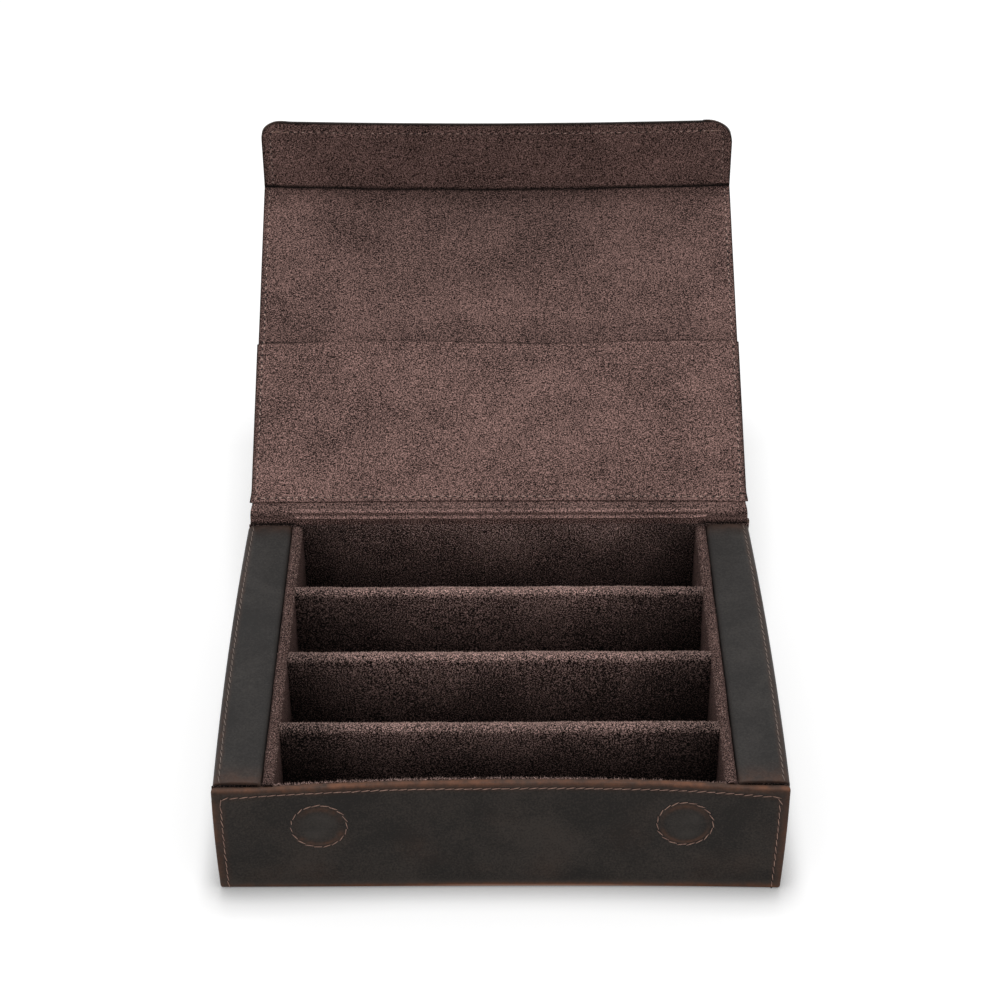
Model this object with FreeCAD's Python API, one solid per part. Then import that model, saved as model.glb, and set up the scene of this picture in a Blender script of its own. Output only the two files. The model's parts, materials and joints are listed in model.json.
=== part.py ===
"""Leather storage box with a suede lined tray, a hinged lid and a magnetic front flap.

Millimetres, +Z up. The origin is the middle of the underside, the front faces -Y, and the lid is
open at its rest angle. Every piece is a separate solid.
"""
import FreeCAD, Part
import math
import os

Vector = FreeCAD.Vector

# Outer size of the case
case_width = 210.0
case_depth = 165.0
rim_height = 50.0

# Layers of every leather covered panel
leather_thick = 1.5
board_thick = 1.7
suede_thick = 0.8
fold_radius = 3.0
edge_turn = 1.5
glue_gap = 0.1
fit_gap = 0.2

# Side walls and their soft top edges
side_width = 18.0
side_edge_radius = 1.2

# Suede lined tray
tray_drop = 0.8
tray_wall_thick = 4.2
divider_thick = 4.8
divider_count = 3
first_divider_setback = 35.5
divider_pitch = 41.0

# The front panel sags inwards at the middle of its top edge, which lies below the rim
front_sag = 5.4
front_drop = 1.9

# Closing magnets, placed from the sides and the rim
magnet_diameter = 16.0
magnet_thick = 1.5
magnet_inset = 37.7
magnet_drop = 19.8

# Lid hinge: the bending line lies inside the leather
hinge_line_depth = 0.9
lid_gap = 1.0
hinge_reach = 2.5
lid_open_angle = 25.7
lid_edge_turn = 4.0

# Lid pocket
pocket_thick = 0.6
pocket_depth = 79.0

# Flap fold
flap_gap = 1.0
fold_line_depth = 2.6
fold_reach = 2.6
flap_fold_angle = 70.9
flap_length = 35.4
flap_corner_radius = 7.5

# Clearance between a rigid panel and the bending strip beside it
strip_gap = 0.05

# Worked out from the sizes above
panel_thick = leather_thick + board_thick + suede_thick
half_width = case_width / 2
whole_x = (-half_width, half_width)
board_half_width = half_width - edge_turn
board_x = (-board_half_width, board_half_width)
front_y = -case_depth / 2
back_y = case_depth / 2
front_top = rim_height - front_drop
floor_board_top = leather_thick + board_thick
floor_top = panel_thick
back_inner_y = back_y - panel_thick
back_board_y = (back_inner_y + suede_thick, back_y - leather_thick)
front_turn_depth = (leather_thick, leather_thick + board_thick)
front_board_depth = (leather_thick + glue_gap, leather_thick + board_thick)
front_lining_depth = (leather_thick + board_thick + glue_gap, panel_thick)
tray_top = rim_height - tray_drop
side_inner_x = half_width - side_width
tray_outer_x = side_inner_x - fit_gap
tray_inner_x = tray_outer_x - tray_wall_thick
tray_front_y = front_y + panel_thick
magnet_x = half_width - magnet_inset
magnet_sides = (("left", -magnet_x), ("right", magnet_x))
magnet_height = rim_height - magnet_drop
magnet_pocket_radius = magnet_diameter / 2 + fit_gap / 2

# Hinge line of the lid, and the heights of the lid's layers above that line
hinge_y = back_y - hinge_line_depth
lid_inner = panel_thick - hinge_line_depth
hinge_z = rim_height + lid_gap + lid_inner
lid_outer = -hinge_line_depth
lid_board_low = lid_outer + leather_thick
lid_lining_low = lid_inner - suede_thick
lid_board_x = (lid_edge_turn - half_width, half_width - lid_edge_turn)

# Fold line of the flap, measured along the lid from the hinge line
fold_inner = panel_thick - fold_line_depth
fold_along = hinge_y - front_y + flap_gap + fold_inner
fold_height = lid_inner - fold_inner
lid_end = fold_along - fold_reach
flap_outer = -fold_line_depth
flap_board_low = flap_outer + leather_thick
flap_lining_low = fold_inner - suede_thick
flap_magnet_along = hinge_z - fold_height - magnet_height

parts = {}


def block(x, y, z):
    """A box between pairs of limits along X, Y and Z."""
    corner = Vector(x[0], y[0], z[0])
    return Part.makeBox(x[1] - x[0], y[1] - y[0], z[1] - z[0], corner)


def fuse(shapes):
    """One clean solid from touching shapes."""
    return shapes[0].multiFuse(shapes[1:]).removeSplitter().Solids[0]


def round_edges(shape, radius, chosen):
    """The shape with those edges rounded for which chosen(middle point, direction) is true."""
    edges = []
    for edge in shape.Edges:
        middle = edge.valueAt((edge.FirstParameter + edge.LastParameter) / 2)
        direction = edge.tangentAt(edge.FirstParameter)
        if chosen(middle, direction):
            edges.append(edge)
    return shape.makeFillet(radius, edges)


def profile_x(edges, half_length):
    """A closed outline in the YZ plane, drawn out along X to both sides of the middle."""
    face = Part.Face(Part.Wire(edges))
    face.translate(Vector(-half_length, 0, 0))
    return face.extrude(Vector(2 * half_length, 0, 0))


def line(start, end):
    """A straight edge between two (y, z) points."""
    return Part.makeLine(Vector(0, *start), Vector(0, *end))


def arc(centre, radius, first, last):
    """An arc edge about a (y, z) centre, between two angles in degrees from +Y towards +Z."""
    points = []
    for angle in (first, (first + last) / 2, last):
        turn = math.radians(angle)
        points.append(Vector(0, centre[0] + radius * math.cos(turn), centre[1] + radius * math.sin(turn)))
    return Part.Arc(*points).toShape()


def front_sag_at(x, z):
    """How far the front panel has sagged inwards at a place on it."""
    rise = (z - fold_radius) / (rim_height - fold_radius)
    return front_sag * rise * (1 - (x / half_width) ** 2)


def front_slab(depth, z, x):
    """A layer of the sagging front panel, between two depths behind its outer face."""
    wires = []
    middle_x = (x[0] + x[1]) / 2
    for height in z:
        sags = [front_sag_at(place, height) for place in (x[0], middle_x, x[1])]
        pull_sag = 2 * sags[1] - (sags[0] + sags[2]) / 2
        curves = []
        for layer in depth:
            y = front_y + layer
            start = Vector(x[0], y + sags[0], height)
            pull = Vector(middle_x, y + pull_sag, height)
            end = Vector(x[1], y + sags[2], height)
            curve = Part.BezierCurve()
            curve.setPoles([start, pull, end])
            curves.append((curve.toShape(), start, end))
        (near, near_start, near_end), (far, far_start, far_end) = curves
        sides = [Part.makeLine(near_end, far_end), Part.makeLine(far_start, near_start)]
        wires.append(Part.Wire(Part.__sortEdges__([near, far] + sides)))
    return Part.makeLoft(wires, True, True)


def front_axis(x, z):
    """A point on the front panel's outer face, and the direction straight in from there."""
    step = 0.01
    point = Vector(x, front_y + front_sag_at(x, z), z)
    slope_x = (front_sag_at(x + step, z) - front_sag_at(x - step, z)) / (2 * step)
    slope_z = (front_sag_at(x, z + step) - front_sag_at(x, z - step)) / (2 * step)
    return point, Vector(-slope_x, 1, -slope_z).normalize()


def behind_front(shape):
    """The shape cut back so that it stands just behind the front panel's lining."""
    reach = panel_thick + front_sag
    zone = front_slab((-reach, panel_thick + fit_gap), (0, rim_height + reach), whole_x)
    return shape.cut(zone).Solids[0]


def base_leather():
    """The leather strip: front, bottom and back, turned in along its side edges and front lip."""
    inner_fold = fold_radius - leather_thick
    front_centre = (front_y + fold_radius, fold_radius)
    back_centre = (back_y - fold_radius, fold_radius)
    bottom = profile_x(
        [
            arc(front_centre, fold_radius, 180, 270),
            line((front_centre[0], 0), (back_centre[0], 0)),
            arc(back_centre, fold_radius, 270, 360),
            line((back_y, fold_radius), (back_y - leather_thick, fold_radius)),
            arc(back_centre, inner_fold, 360, 270),
            line((back_centre[0], leather_thick), (front_centre[0], leather_thick)),
            arc(front_centre, inner_fold, 270, 180),
            line((front_y + leather_thick, fold_radius), (front_y, fold_radius)),
        ],
        half_width,
    )
    front = front_slab((0, leather_thick), (fold_radius, front_top), whole_x)
    back = block(whole_x, (back_y - leather_thick, back_y), (fold_radius, rim_height))
    lip = front_slab(front_turn_depth, (front_top - leather_thick, front_top), whole_x)
    turned = [lip]
    for side in (-1, 1):
        x = sorted((side * half_width, side * board_half_width))
        turned.append(front_slab(front_turn_depth, (floor_board_top, front_top - leather_thick), x))
        turned.append(block(x, (front_centre[0], back_centre[0]), (leather_thick, floor_board_top)))
        turned.append(block(x, back_board_y, (floor_board_top, rim_height)))
    return fuse([bottom, front, back] + turned)


def front_board():
    """The stiff board in the front panel, with a round pocket for each magnet."""
    z = (floor_board_top, front_top - leather_thick)
    board = front_slab(front_board_depth, z, board_x)
    for name, x in magnet_sides:
        point, inwards = front_axis(x, magnet_height)
        board = board.cut(Part.makeCylinder(magnet_pocket_radius, 2 * panel_thick, point, inwards))
    return board.Solids[0]


def front_magnet(x):
    """A disc magnet in its pocket, flush with the back of the front board."""
    point, inwards = front_axis(x, magnet_height)
    start = point + inwards * (leather_thick + board_thick - magnet_thick)
    return Part.makeCylinder(magnet_diameter / 2, magnet_thick, start, inwards)


def back_panel():
    """The board and the lining of the back panel."""
    z = (floor_board_top, rim_height)
    parts["back_board"] = block(board_x, back_board_y, z)
    parts["back_lining"] = block(whole_x, (back_inner_y, back_board_y[0]), z)


def bottom_panel():
    """The board under the tray, and the tray's suede floor."""
    board_y = (front_y + fold_radius, back_y - fold_radius)
    parts["bottom_board"] = block(board_x, board_y, (leather_thick, floor_board_top))
    floor_y = (tray_front_y, back_inner_y)
    floor = block((-tray_outer_x, tray_outer_x), floor_y, (floor_board_top, floor_top))
    parts["floor_lining"] = behind_front(floor)


def side_wall(name, side):
    """A thick side wall: its core, and the leather over its outside, top and inside."""
    y = (tray_front_y, back_inner_y)
    outer_x = sorted((side * side_inner_x, side * half_width))
    core_x = (outer_x[0] + leather_thick, outer_x[1] - leather_thick)
    core = block(core_x, y, (floor_board_top, rim_height - leather_thick))
    cover = block(outer_x, y, (floor_board_top, rim_height))

    def top_edge(middle, direction):
        """True on the two long edges along the top of the wall."""
        return abs(direction.y) > 0.99 and abs(middle.z - rim_height) < fit_gap

    cover = round_edges(cover, side_edge_radius, top_edge)
    parts[name + "_side_core"] = behind_front(core)
    parts[name + "_side_leather"] = behind_front(cover.cut(core))


def sleeved_card(name, x, y):
    """A card in a suede sleeve that is open below and rounded along its top."""
    along_x = x[1] - x[0] > y[1] - y[0]
    sleeve = block(x, y, (floor_top, tray_top))
    if along_x:
        card_x, card_y = x, (y[0] + suede_thick, y[1] - suede_thick)
        rounding = (y[1] - y[0]) / 2 - fit_gap
    else:
        card_x, card_y = (x[0] + suede_thick, x[1] - suede_thick), y
        rounding = (x[1] - x[0]) / 2 - fit_gap

    def top_edge(middle, direction):
        """True on the two long edges along the top of the sleeve."""
        runs = abs(direction.x) if along_x else abs(direction.y)
        return runs > 0.99 and abs(middle.z - tray_top) < fit_gap

    card = block(card_x, card_y, (floor_top, tray_top - rounding))
    sleeve = round_edges(sleeve, rounding, top_edge).cut(card)
    parts[name + "_card"] = behind_front(card)
    parts[name + "_suede"] = behind_front(sleeve)


def tray():
    """The two tray walls beside the side walls, and the dividers between them."""
    wall_y = (tray_front_y, back_inner_y)
    sleeved_card("left_tray_wall", (-tray_outer_x, -tray_inner_x), wall_y)
    sleeved_card("right_tray_wall", (tray_inner_x, tray_outer_x), wall_y)
    for number in range(divider_count):
        middle = front_y + first_divider_setback + number * divider_pitch
        y = (middle - divider_thick / 2, middle + divider_thick / 2)
        sleeved_card("divider_%d" % (number + 1), (-tray_inner_x, tray_inner_x), y)


def on_lid(shape):
    """A shape drawn with Y along the lid from the hinge line and Z towards its lining, put in place."""
    turn = FreeCAD.Rotation(Vector(1, 0, 0), lid_open_angle)
    shape.Placement = FreeCAD.Placement(Vector(0, hinge_y, hinge_z), turn).multiply(shape.Placement)
    return shape


def on_flap(shape):
    """A shape drawn with Y along the flap from the fold line and Z towards its lining, put in place."""
    turn = FreeCAD.Rotation(Vector(1, 0, 0), flap_fold_angle)
    place = FreeCAD.Placement(Vector(0, fold_along, fold_height), turn)
    shape.Placement = place.multiply(shape.Placement)
    return on_lid(shape)


def panel_leather(y, outer_z, board_y, board_z):
    """A leather panel whose edges are turned up around a board of the given place."""
    outside = block(whole_x, y, (outer_z, board_z[1]))
    return outside.cut(block(lid_board_x, board_y, board_z))


def lid():
    """The lid's leather, board and lining, and the slip pocket on the lining."""
    y = (hinge_reach + strip_gap, lid_end - strip_gap)
    board_y = (y[0] + lid_edge_turn, y[1] - lid_edge_turn)
    board_z = (lid_board_low, lid_lining_low)
    parts["lid_leather"] = on_lid(panel_leather(y, lid_outer, board_y, board_z))
    parts["lid_board"] = on_lid(block(lid_board_x, board_y, board_z))
    parts["lid_lining"] = on_lid(block(whole_x, y, (lid_lining_low, lid_inner)))
    pocket_y = (y[0], y[0] + pocket_depth)
    parts["lid_pocket"] = on_lid(block(whole_x, pocket_y, (lid_inner, lid_inner + pocket_thick)))


def flap():
    """The flap's leather, board, lining and magnets, with round corners at its free edge."""
    y = (fold_reach + strip_gap, flap_length)
    board_y = (y[0] + lid_edge_turn, y[1] - lid_edge_turn)
    board_z = (flap_board_low, flap_lining_low)
    outside = panel_leather(y, flap_outer, board_y, board_z)
    lining = block(whole_x, y, (flap_lining_low, fold_inner))

    def corner(middle, direction):
        """True on the upright edges at the two free corners."""
        on_corner = abs(abs(middle.x) - half_width) < fit_gap and middle.y > y[1] - fit_gap
        return on_corner and abs(direction.z) > 0.99

    board = block(lid_board_x, board_y, board_z)
    magnet_z = flap_board_low + (board_thick - magnet_thick) / 2
    for name, x in magnet_sides:
        pocket_start = Vector(x, flap_magnet_along, flap_outer)
        board = board.cut(Part.makeCylinder(magnet_pocket_radius, 2 * panel_thick, pocket_start))
        start = Vector(x, flap_magnet_along, magnet_z)
        magnet = Part.makeCylinder(magnet_diameter / 2, magnet_thick, start)
        parts["flap_magnet_" + name] = on_flap(magnet)
    parts["flap_leather"] = on_flap(round_edges(outside, flap_corner_radius, corner))
    parts["flap_board"] = on_flap(board.Solids[0])
    parts["flap_lining"] = on_flap(round_edges(lining, flap_corner_radius, corner))


def turned_point(centre, angle, along, height):
    """A (y, z) point given along and above a line that leaves a centre at an angle in degrees."""
    turn = math.radians(angle)
    y = centre[0] + along * math.cos(turn) - height * math.sin(turn)
    z = centre[1] + along * math.sin(turn) + height * math.cos(turn)
    return y, z


def hinge():
    """The bending strip between the back panel and the lid: leather outside, suede inside."""
    centre = (hinge_y, hinge_z)
    upright = 90.0
    lean = upright - lid_open_angle
    leather_y = back_y - leather_thick
    crease = (back_y, hinge_z - hinge_line_depth * math.tan(math.radians(lean / 2)))
    lid_low = turned_point(centre, lid_open_angle, hinge_reach, lid_outer)
    lid_high = turned_point(centre, lid_open_angle, hinge_reach, lid_board_low)
    lid_start = turned_point(centre, lid_open_angle, 0, lid_board_low)
    parts["hinge_leather"] = profile_x(
        [
            line((leather_y, rim_height), (back_y, rim_height)),
            line((back_y, rim_height), crease),
            line(crease, lid_low),
            line(lid_low, lid_high),
            line(lid_high, lid_start),
            arc(centre, lid_board_low, upright + lid_open_angle, 2 * upright),
            line((leather_y, hinge_z), (leather_y, rim_height)),
        ],
        half_width,
    )
    low_end = turned_point(centre, lid_open_angle, hinge_reach, lid_lining_low)
    high_end = turned_point(centre, lid_open_angle, hinge_reach, lid_inner)
    low_start = turned_point(centre, lid_open_angle, 0, lid_lining_low)
    high_start = turned_point(centre, lid_open_angle, 0, lid_inner)
    lining_y = back_inner_y + suede_thick
    parts["hinge_lining"] = profile_x(
        [
            line((back_inner_y, rim_height), (lining_y, rim_height)),
            line((lining_y, rim_height), (lining_y, hinge_z)),
            arc(centre, lid_lining_low, 2 * upright, upright + lid_open_angle),
            line(low_start, low_end),
            line(low_end, high_end),
            line(high_end, high_start),
            arc(centre, lid_inner, upright + lid_open_angle, 2 * upright),
            line((back_inner_y, hinge_z), (back_inner_y, rim_height)),
        ],
        half_width,
    )


def fold():
    """The bending strip between the lid and the flap: leather round the outside, suede in the crease."""
    centre = (fold_along, fold_height)
    below = -90.0
    outer, inner = fold_line_depth, fold_line_depth - leather_thick
    lid_points = [(lid_end, fold_height - outer), (fold_along, fold_height - outer)]
    inner_points = [(fold_along, fold_height - inner), (lid_end, fold_height - inner)]
    flap_points = [
        turned_point(centre, flap_fold_angle, 0, -outer),
        turned_point(centre, flap_fold_angle, fold_reach, -outer),
        turned_point(centre, flap_fold_angle, fold_reach, -inner),
        turned_point(centre, flap_fold_angle, 0, -inner),
    ]
    leather = profile_x(
        [
            line(lid_points[0], lid_points[1]),
            arc(centre, outer, below, below + flap_fold_angle),
            line(flap_points[0], flap_points[1]),
            line(flap_points[1], flap_points[2]),
            line(flap_points[2], flap_points[3]),
            arc(centre, inner, below + flap_fold_angle, below),
            line(inner_points[0], inner_points[1]),
            line(inner_points[1], lid_points[0]),
        ],
        half_width,
    )
    mitre = math.tan(math.radians(flap_fold_angle / 2))
    corners = [(lid_end, lid_lining_low)]
    corners.append((fold_along - flap_lining_low * mitre, lid_lining_low))
    corners.append(turned_point(centre, flap_fold_angle, fold_reach, flap_lining_low))
    corners.append(turned_point(centre, flap_fold_angle, fold_reach, fold_inner))
    corners.append((fold_along - fold_inner * mitre, lid_inner))
    corners.append((lid_end, lid_inner))
    sides = [line(start, end) for start, end in zip(corners, corners[1:] + corners[:1])]
    parts["fold_leather"] = on_lid(leather)
    parts["fold_lining"] = on_lid(profile_x(sides, half_width))


def build():
    """All pieces, each written to its own file."""
    parts["base_leather"] = base_leather()
    parts["front_board"] = front_board()
    parts["front_lining"] = front_slab(front_lining_depth, (floor_board_top, front_top), whole_x)
    for name, x in magnet_sides:
        parts["front_magnet_" + name] = front_magnet(x)
    back_panel()
    bottom_panel()
    side_wall("left", -1)
    side_wall("right", 1)
    tray()
    hinge()
    lid()
    fold()
    flap()
    os.makedirs("parts", exist_ok=True)
    for name, shape in parts.items():
        if len(shape.Solids) != 1 or not shape.isValid():
            raise ValueError(name + " is not one valid solid")
        shape.exportStep("parts/%s.step" % name)
        print("%-24s %10.1f mm3" % (name, shape.Volume))


build()
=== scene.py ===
"""Looks of an open leather storage box.

Waxed leather panels over board, a suede lined tray with dividers, a lid with a slip pocket and a
folding front flap. Metres, +Z up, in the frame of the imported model.
"""
import json
import logging
import math
from dataclasses import dataclass, field
from enum import Enum
from typing import Callable, Sequence

import bmesh
import bpy
import numpy as np
from mathutils import Matrix, Vector


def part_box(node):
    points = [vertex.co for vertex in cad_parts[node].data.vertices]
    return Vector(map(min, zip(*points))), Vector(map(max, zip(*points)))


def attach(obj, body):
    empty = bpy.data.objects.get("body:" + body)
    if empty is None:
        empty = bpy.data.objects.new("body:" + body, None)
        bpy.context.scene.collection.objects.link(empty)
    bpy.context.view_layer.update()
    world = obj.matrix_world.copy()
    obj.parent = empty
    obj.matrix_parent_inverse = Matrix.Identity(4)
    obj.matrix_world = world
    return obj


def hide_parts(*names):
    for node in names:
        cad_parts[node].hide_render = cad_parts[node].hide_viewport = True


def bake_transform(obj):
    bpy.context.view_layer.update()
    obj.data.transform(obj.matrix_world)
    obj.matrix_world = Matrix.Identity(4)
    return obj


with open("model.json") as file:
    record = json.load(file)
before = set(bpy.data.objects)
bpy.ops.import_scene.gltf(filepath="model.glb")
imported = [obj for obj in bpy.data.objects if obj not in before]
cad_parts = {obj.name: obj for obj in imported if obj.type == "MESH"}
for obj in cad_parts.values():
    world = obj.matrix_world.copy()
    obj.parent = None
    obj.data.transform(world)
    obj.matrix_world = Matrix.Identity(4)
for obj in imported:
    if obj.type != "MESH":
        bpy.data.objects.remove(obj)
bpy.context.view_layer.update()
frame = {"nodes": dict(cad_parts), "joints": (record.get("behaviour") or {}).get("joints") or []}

MM = 0.001
WHITE = "#ffffff"
NOISE_LOW, NOISE_HIGH = 0.3, 0.7
SHARP_ANGLE = math.radians(50)
RECESS_STEP = 0.06 * MM
ROW_STEP = 0.8 * MM
ROW_POINTS = 200
log = logging.getLogger("box")

Array = np.ndarray
Material = bpy.types.Material
Piece = bpy.types.Object
Tree = bpy.types.NodeTree
Socket = bpy.types.NodeSocket
Place = Callable[[Array], Array]
Pair = tuple[float, float]
Stretches = tuple[tuple[float, float, float], ...]
Colour = tuple[float, float, float, float]
Noise = tuple[float, float, float, float]


class Body(Enum):
    """The bodies that move apart from each other."""

    CASE = "case"
    LID = "lid"
    FLAP = "flap"


class Slot(Enum):
    """The record's material slots."""

    LEATHER = "oiled_leather"
    SUEDE = "suede_lining"
    BOARD = "grey_board"
    MAGNET = "magnet_nickel"


class Side(Enum):
    """The two side walls, by the direction that they face."""

    LEFT = -1
    RIGHT = 1


def linear(code: str) -> Colour:
    """Turns an sRGB hex colour into linear light.

    Args:
        code: A colour such as "#2d2b2a".

    Returns:
        Red, green and blue in linear light, and full alpha.
    """
    parts = [int(code[i:i + 2], 16) / 255 for i in (1, 3, 5)]
    red, green, blue = (c / 12.92 if c <= 0.04045 else ((c + 0.055) / 1.055) ** 2.4 for c in parts)
    return red, green, blue, 1.0


def feed(tree: Tree, node: bpy.types.Node, inputs: dict) -> None:
    """Sets inputs of a node, or links them where a socket is given.

    Args:
        tree: The node's tree.
        node: The node.
        inputs: Values or sockets for its inputs, by name or number.
    """
    for key, value in inputs.items():
        if isinstance(value, Socket):
            tree.links.new(value, node.inputs[key])
        else:
            node.inputs[key].default_value = value


def put(
    tree: Tree, kind: str, inputs: dict | None = None, out: int | str = 0, **settings: object
) -> Socket | None:
    """Adds one node.

    Args:
        tree: The tree that gets the node.
        kind: The node's type name.
        inputs: Values or sockets for its inputs, by name or number.
        out: The output that is wanted.
        **settings: The node's own properties.

    Returns:
        That output, or nothing for a node that ends a tree.
    """
    made = tree.nodes.new(kind)
    for name, value in settings.items():
        setattr(made, name, value)
    feed(tree, made, inputs or {})
    return made.outputs[out] if made.outputs else None


def shown(name: str, data: bpy.types.ID) -> Piece:
    """Makes an object of a mesh, a lamp or a camera, and puts it in the scene."""
    made = bpy.data.objects.new(name, data)
    bpy.context.scene.collection.objects.link(made)
    return made


def blank(name: str) -> tuple[Material, Tree, bpy.types.Node]:
    """Starts a material, and gives it with its node tree and its shader."""
    made = bpy.data.materials.new(name)
    made.use_nodes = True
    return made, made.node_tree, made.node_tree.nodes["Principled BSDF"]


def grower(name: str, inputs: dict[str, str], output: str) -> Tree:
    """Starts a geometry node tree.

    Args:
        name: The tree's name.
        inputs: The kind of each input, by its name.
        output: The name of the geometry that it gives.

    Returns:
        The tree, with its inputs and its output.
    """
    tree = bpy.data.node_groups.new(name, "GeometryNodeTree")
    for label, kind in inputs.items():
        tree.interface.new_socket(label, in_out="INPUT", socket_type="NodeSocket" + kind)
    tree.interface.new_socket(output, in_out="OUTPUT", socket_type="NodeSocketGeometry")
    return tree


def ripple(first: Array, second: Array, wavelength: float, seed: int) -> Array:
    """Smooth seeded unevenness over a surface.

    Args:
        first: One coordinate of each point.
        second: The other coordinate of each point.
        wavelength: The usual distance between two crests.
        seed: Chooses the pattern.

    Returns:
        A value for each point, mostly between -1 and 1.
    """
    waves = 6
    draw = np.random.default_rng(seed)
    total = np.zeros_like(first)
    for _ in range(waves):
        heading, phase = draw.uniform(0, math.tau, 2)
        length = wavelength * draw.uniform(0.6, 1.7)
        walked = first * math.cos(heading) + second * math.sin(heading)
        total += np.sin(math.tau * walked / length + phase)
    return total / math.sqrt(2 * waves)


def bell(distance: Array, width: float) -> Array:
    """A smooth bump that is 1 at no distance and fades over a width."""
    return np.exp(-((distance / width) ** 2))


def ease(share: Array) -> Array:
    """A smooth step from 0 to 1 as the share goes from 0 to 1."""
    held = np.clip(share, 0, 1)
    return held * held * (3 - 2 * held)


@dataclass(frozen=True)
class Mark:
    """A soft bump, dent or stain: its strength in its middle and the width over which it fades."""

    strength: float
    width: float

    def at(self, distance: Array) -> Array:
        """The mark at each distance from its middle."""
        return self.strength * bell(distance, self.width)


@dataclass(frozen=True)
class Wave:
    """Smooth seeded unevenness: its height, the usual distance between two crests, and its seed."""

    height: float
    wavelength: float
    seed: int

    def at(self, first: Array, second: Array) -> Array:
        """The unevenness at points on a surface, by their two coordinates."""
        return self.height * ripple(first, second, self.wavelength, self.seed)

    def along(self, run: Array) -> Array:
        """The unevenness along a line."""
        return self.at(run, np.zeros_like(run))

    def share(self, first: Array, second: Array) -> Array:
        """A patchy share of something, mostly up to 1."""
        return 1 - self.height + self.at(first, second)


@dataclass(frozen=True)
class Span:
    """One direction of a slab: its ends, its grid, and which ends have a round edge."""

    low: float
    high: float
    cell: float
    finer: Stretches = ()
    cuts_at: tuple[float, ...] = ()
    round_low: bool = True
    round_high: bool = True

    def cuts(self, radius: float) -> Array:
        """Places of the grid lines.

        Args:
            radius: The radius of the slab's edges.

        Returns:
            The places in rising order, closer together at round edges and in finer stretches.
        """
        edge = radius * np.array([0.0, 1 - math.tan(math.pi / 8), 1.0])
        count = max(1, round((self.high - self.low - 2 * radius) / self.cell))
        lines = [self.low + edge, self.high - edge, np.array(self.cuts_at)]
        lines.append(np.linspace(self.low + radius, self.high - radius, count + 1))
        for start, end, cell in self.finer:
            lines.append(np.linspace(start, end, max(2, round((end - start) / cell) + 1)))
        places = np.unique(np.round(np.concatenate(lines), 6))
        least = 0.04 * MM
        keep = np.concatenate([[True], np.diff(places) > least])
        return places[keep]

    @property
    def length(self) -> float:
        """How long the span is."""
        return self.high - self.low


@dataclass
class Shell:
    """A closed mesh while it is shaped: its points, its faces and named values on its points."""

    points: Array
    faces: Array
    marks: dict[str, Array] = field(default_factory=dict)

    @classmethod
    def slab(cls, across: Span, along: Span, depth: Span, radius: float) -> "Shell":
        """A flat block with round edges, gridded so that it can be bent.

        Args:
            across: Its first direction.
            along: Its second direction.
            depth: Its thickness.
            radius: The radius of its edges.

        Returns:
            The block, with its points at the spans' own places.
        """
        spans = (across, along, depth)
        cuts = [span.cuts(radius) for span in spans]
        counts = [len(c) for c in cuts]
        quads = []
        for axis in range(3):
            first, second = (a for a in range(3) if a != axis)
            steps = (np.arange(counts[a] - 1) for a in (first, second))
            rows, columns = np.meshgrid(*steps, indexing="ij")
            for end in (0, counts[axis] - 1):
                corners = []
                for step_first, step_second in ((0, 0), (1, 0), (1, 1), (0, 1)):
                    index = [None, None, None]
                    index[axis] = np.full(rows.size, end)
                    index[first] = rows.ravel() + step_first
                    index[second] = columns.ravel() + step_second
                    corners.append(np.ravel_multi_index(index, counts))
                quad = np.stack(corners, axis=1)
                inwards = (end == 0) != (axis == 1)
                quads.append(quad[:, ::-1] if inwards else quad)
        stacked = np.concatenate(quads)
        used, numbers = np.unique(stacked, return_inverse=True)
        grid = np.unravel_index(used, counts)
        points = np.stack([cuts[a][grid[a]] for a in range(3)], axis=1)
        low = np.array([span.low + radius * span.round_low for span in spans])
        high = np.array([span.high - radius * span.round_high for span in spans])
        core = np.clip(points, low, high)
        out = points - core
        length = np.linalg.norm(out, axis=1, keepdims=True)
        points = np.where(length > 0, core + radius * out / np.maximum(length, 1e-12), points)
        return cls(points, numbers.reshape(-1, 4))

    def placed(self, place: Place) -> "Shell":
        """The same mesh with its points moved and its faces still outwards.

        Args:
            place: Gives each point's place in the frame.

        Returns:
            The mesh in its place.
        """
        points = place(self.points)
        a, b, c, d = (points[self.faces[:, i]] for i in range(4))
        volume = np.einsum("ij,ij->", a, np.cross(b, c)) + np.einsum("ij,ij->", a, np.cross(c, d))
        faces = self.faces if volume > 0 else self.faces[:, ::-1]
        return Shell(points, faces, dict(self.marks))

    def to_mesh(self, name: str) -> bpy.types.Mesh:
        """Makes the Blender mesh, with the marks as attributes of its points.

        Args:
            name: The mesh's name.

        Returns:
            The mesh.
        """
        mesh = bpy.data.meshes.new(name)
        mesh.from_pydata(self.points.tolist(), [], self.faces.tolist())
        for mark, values in self.marks.items():
            layer = mesh.attributes.new(mark, "FLOAT", "POINT")
            layer.data.foreach_set("value", values.astype(np.float32))
        return mesh

    def to_object(self, name: str) -> Piece:
        """Makes the Blender object.

        Args:
            name: The piece's name.

        Returns:
            A smooth object at the origin, with sharp edges kept.
        """
        mesh = self.to_mesh(name)
        mesh.shade_smooth()
        mesh.set_sharp_from_angle(angle=SHARP_ANGLE)
        return shown(name, mesh)


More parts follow.
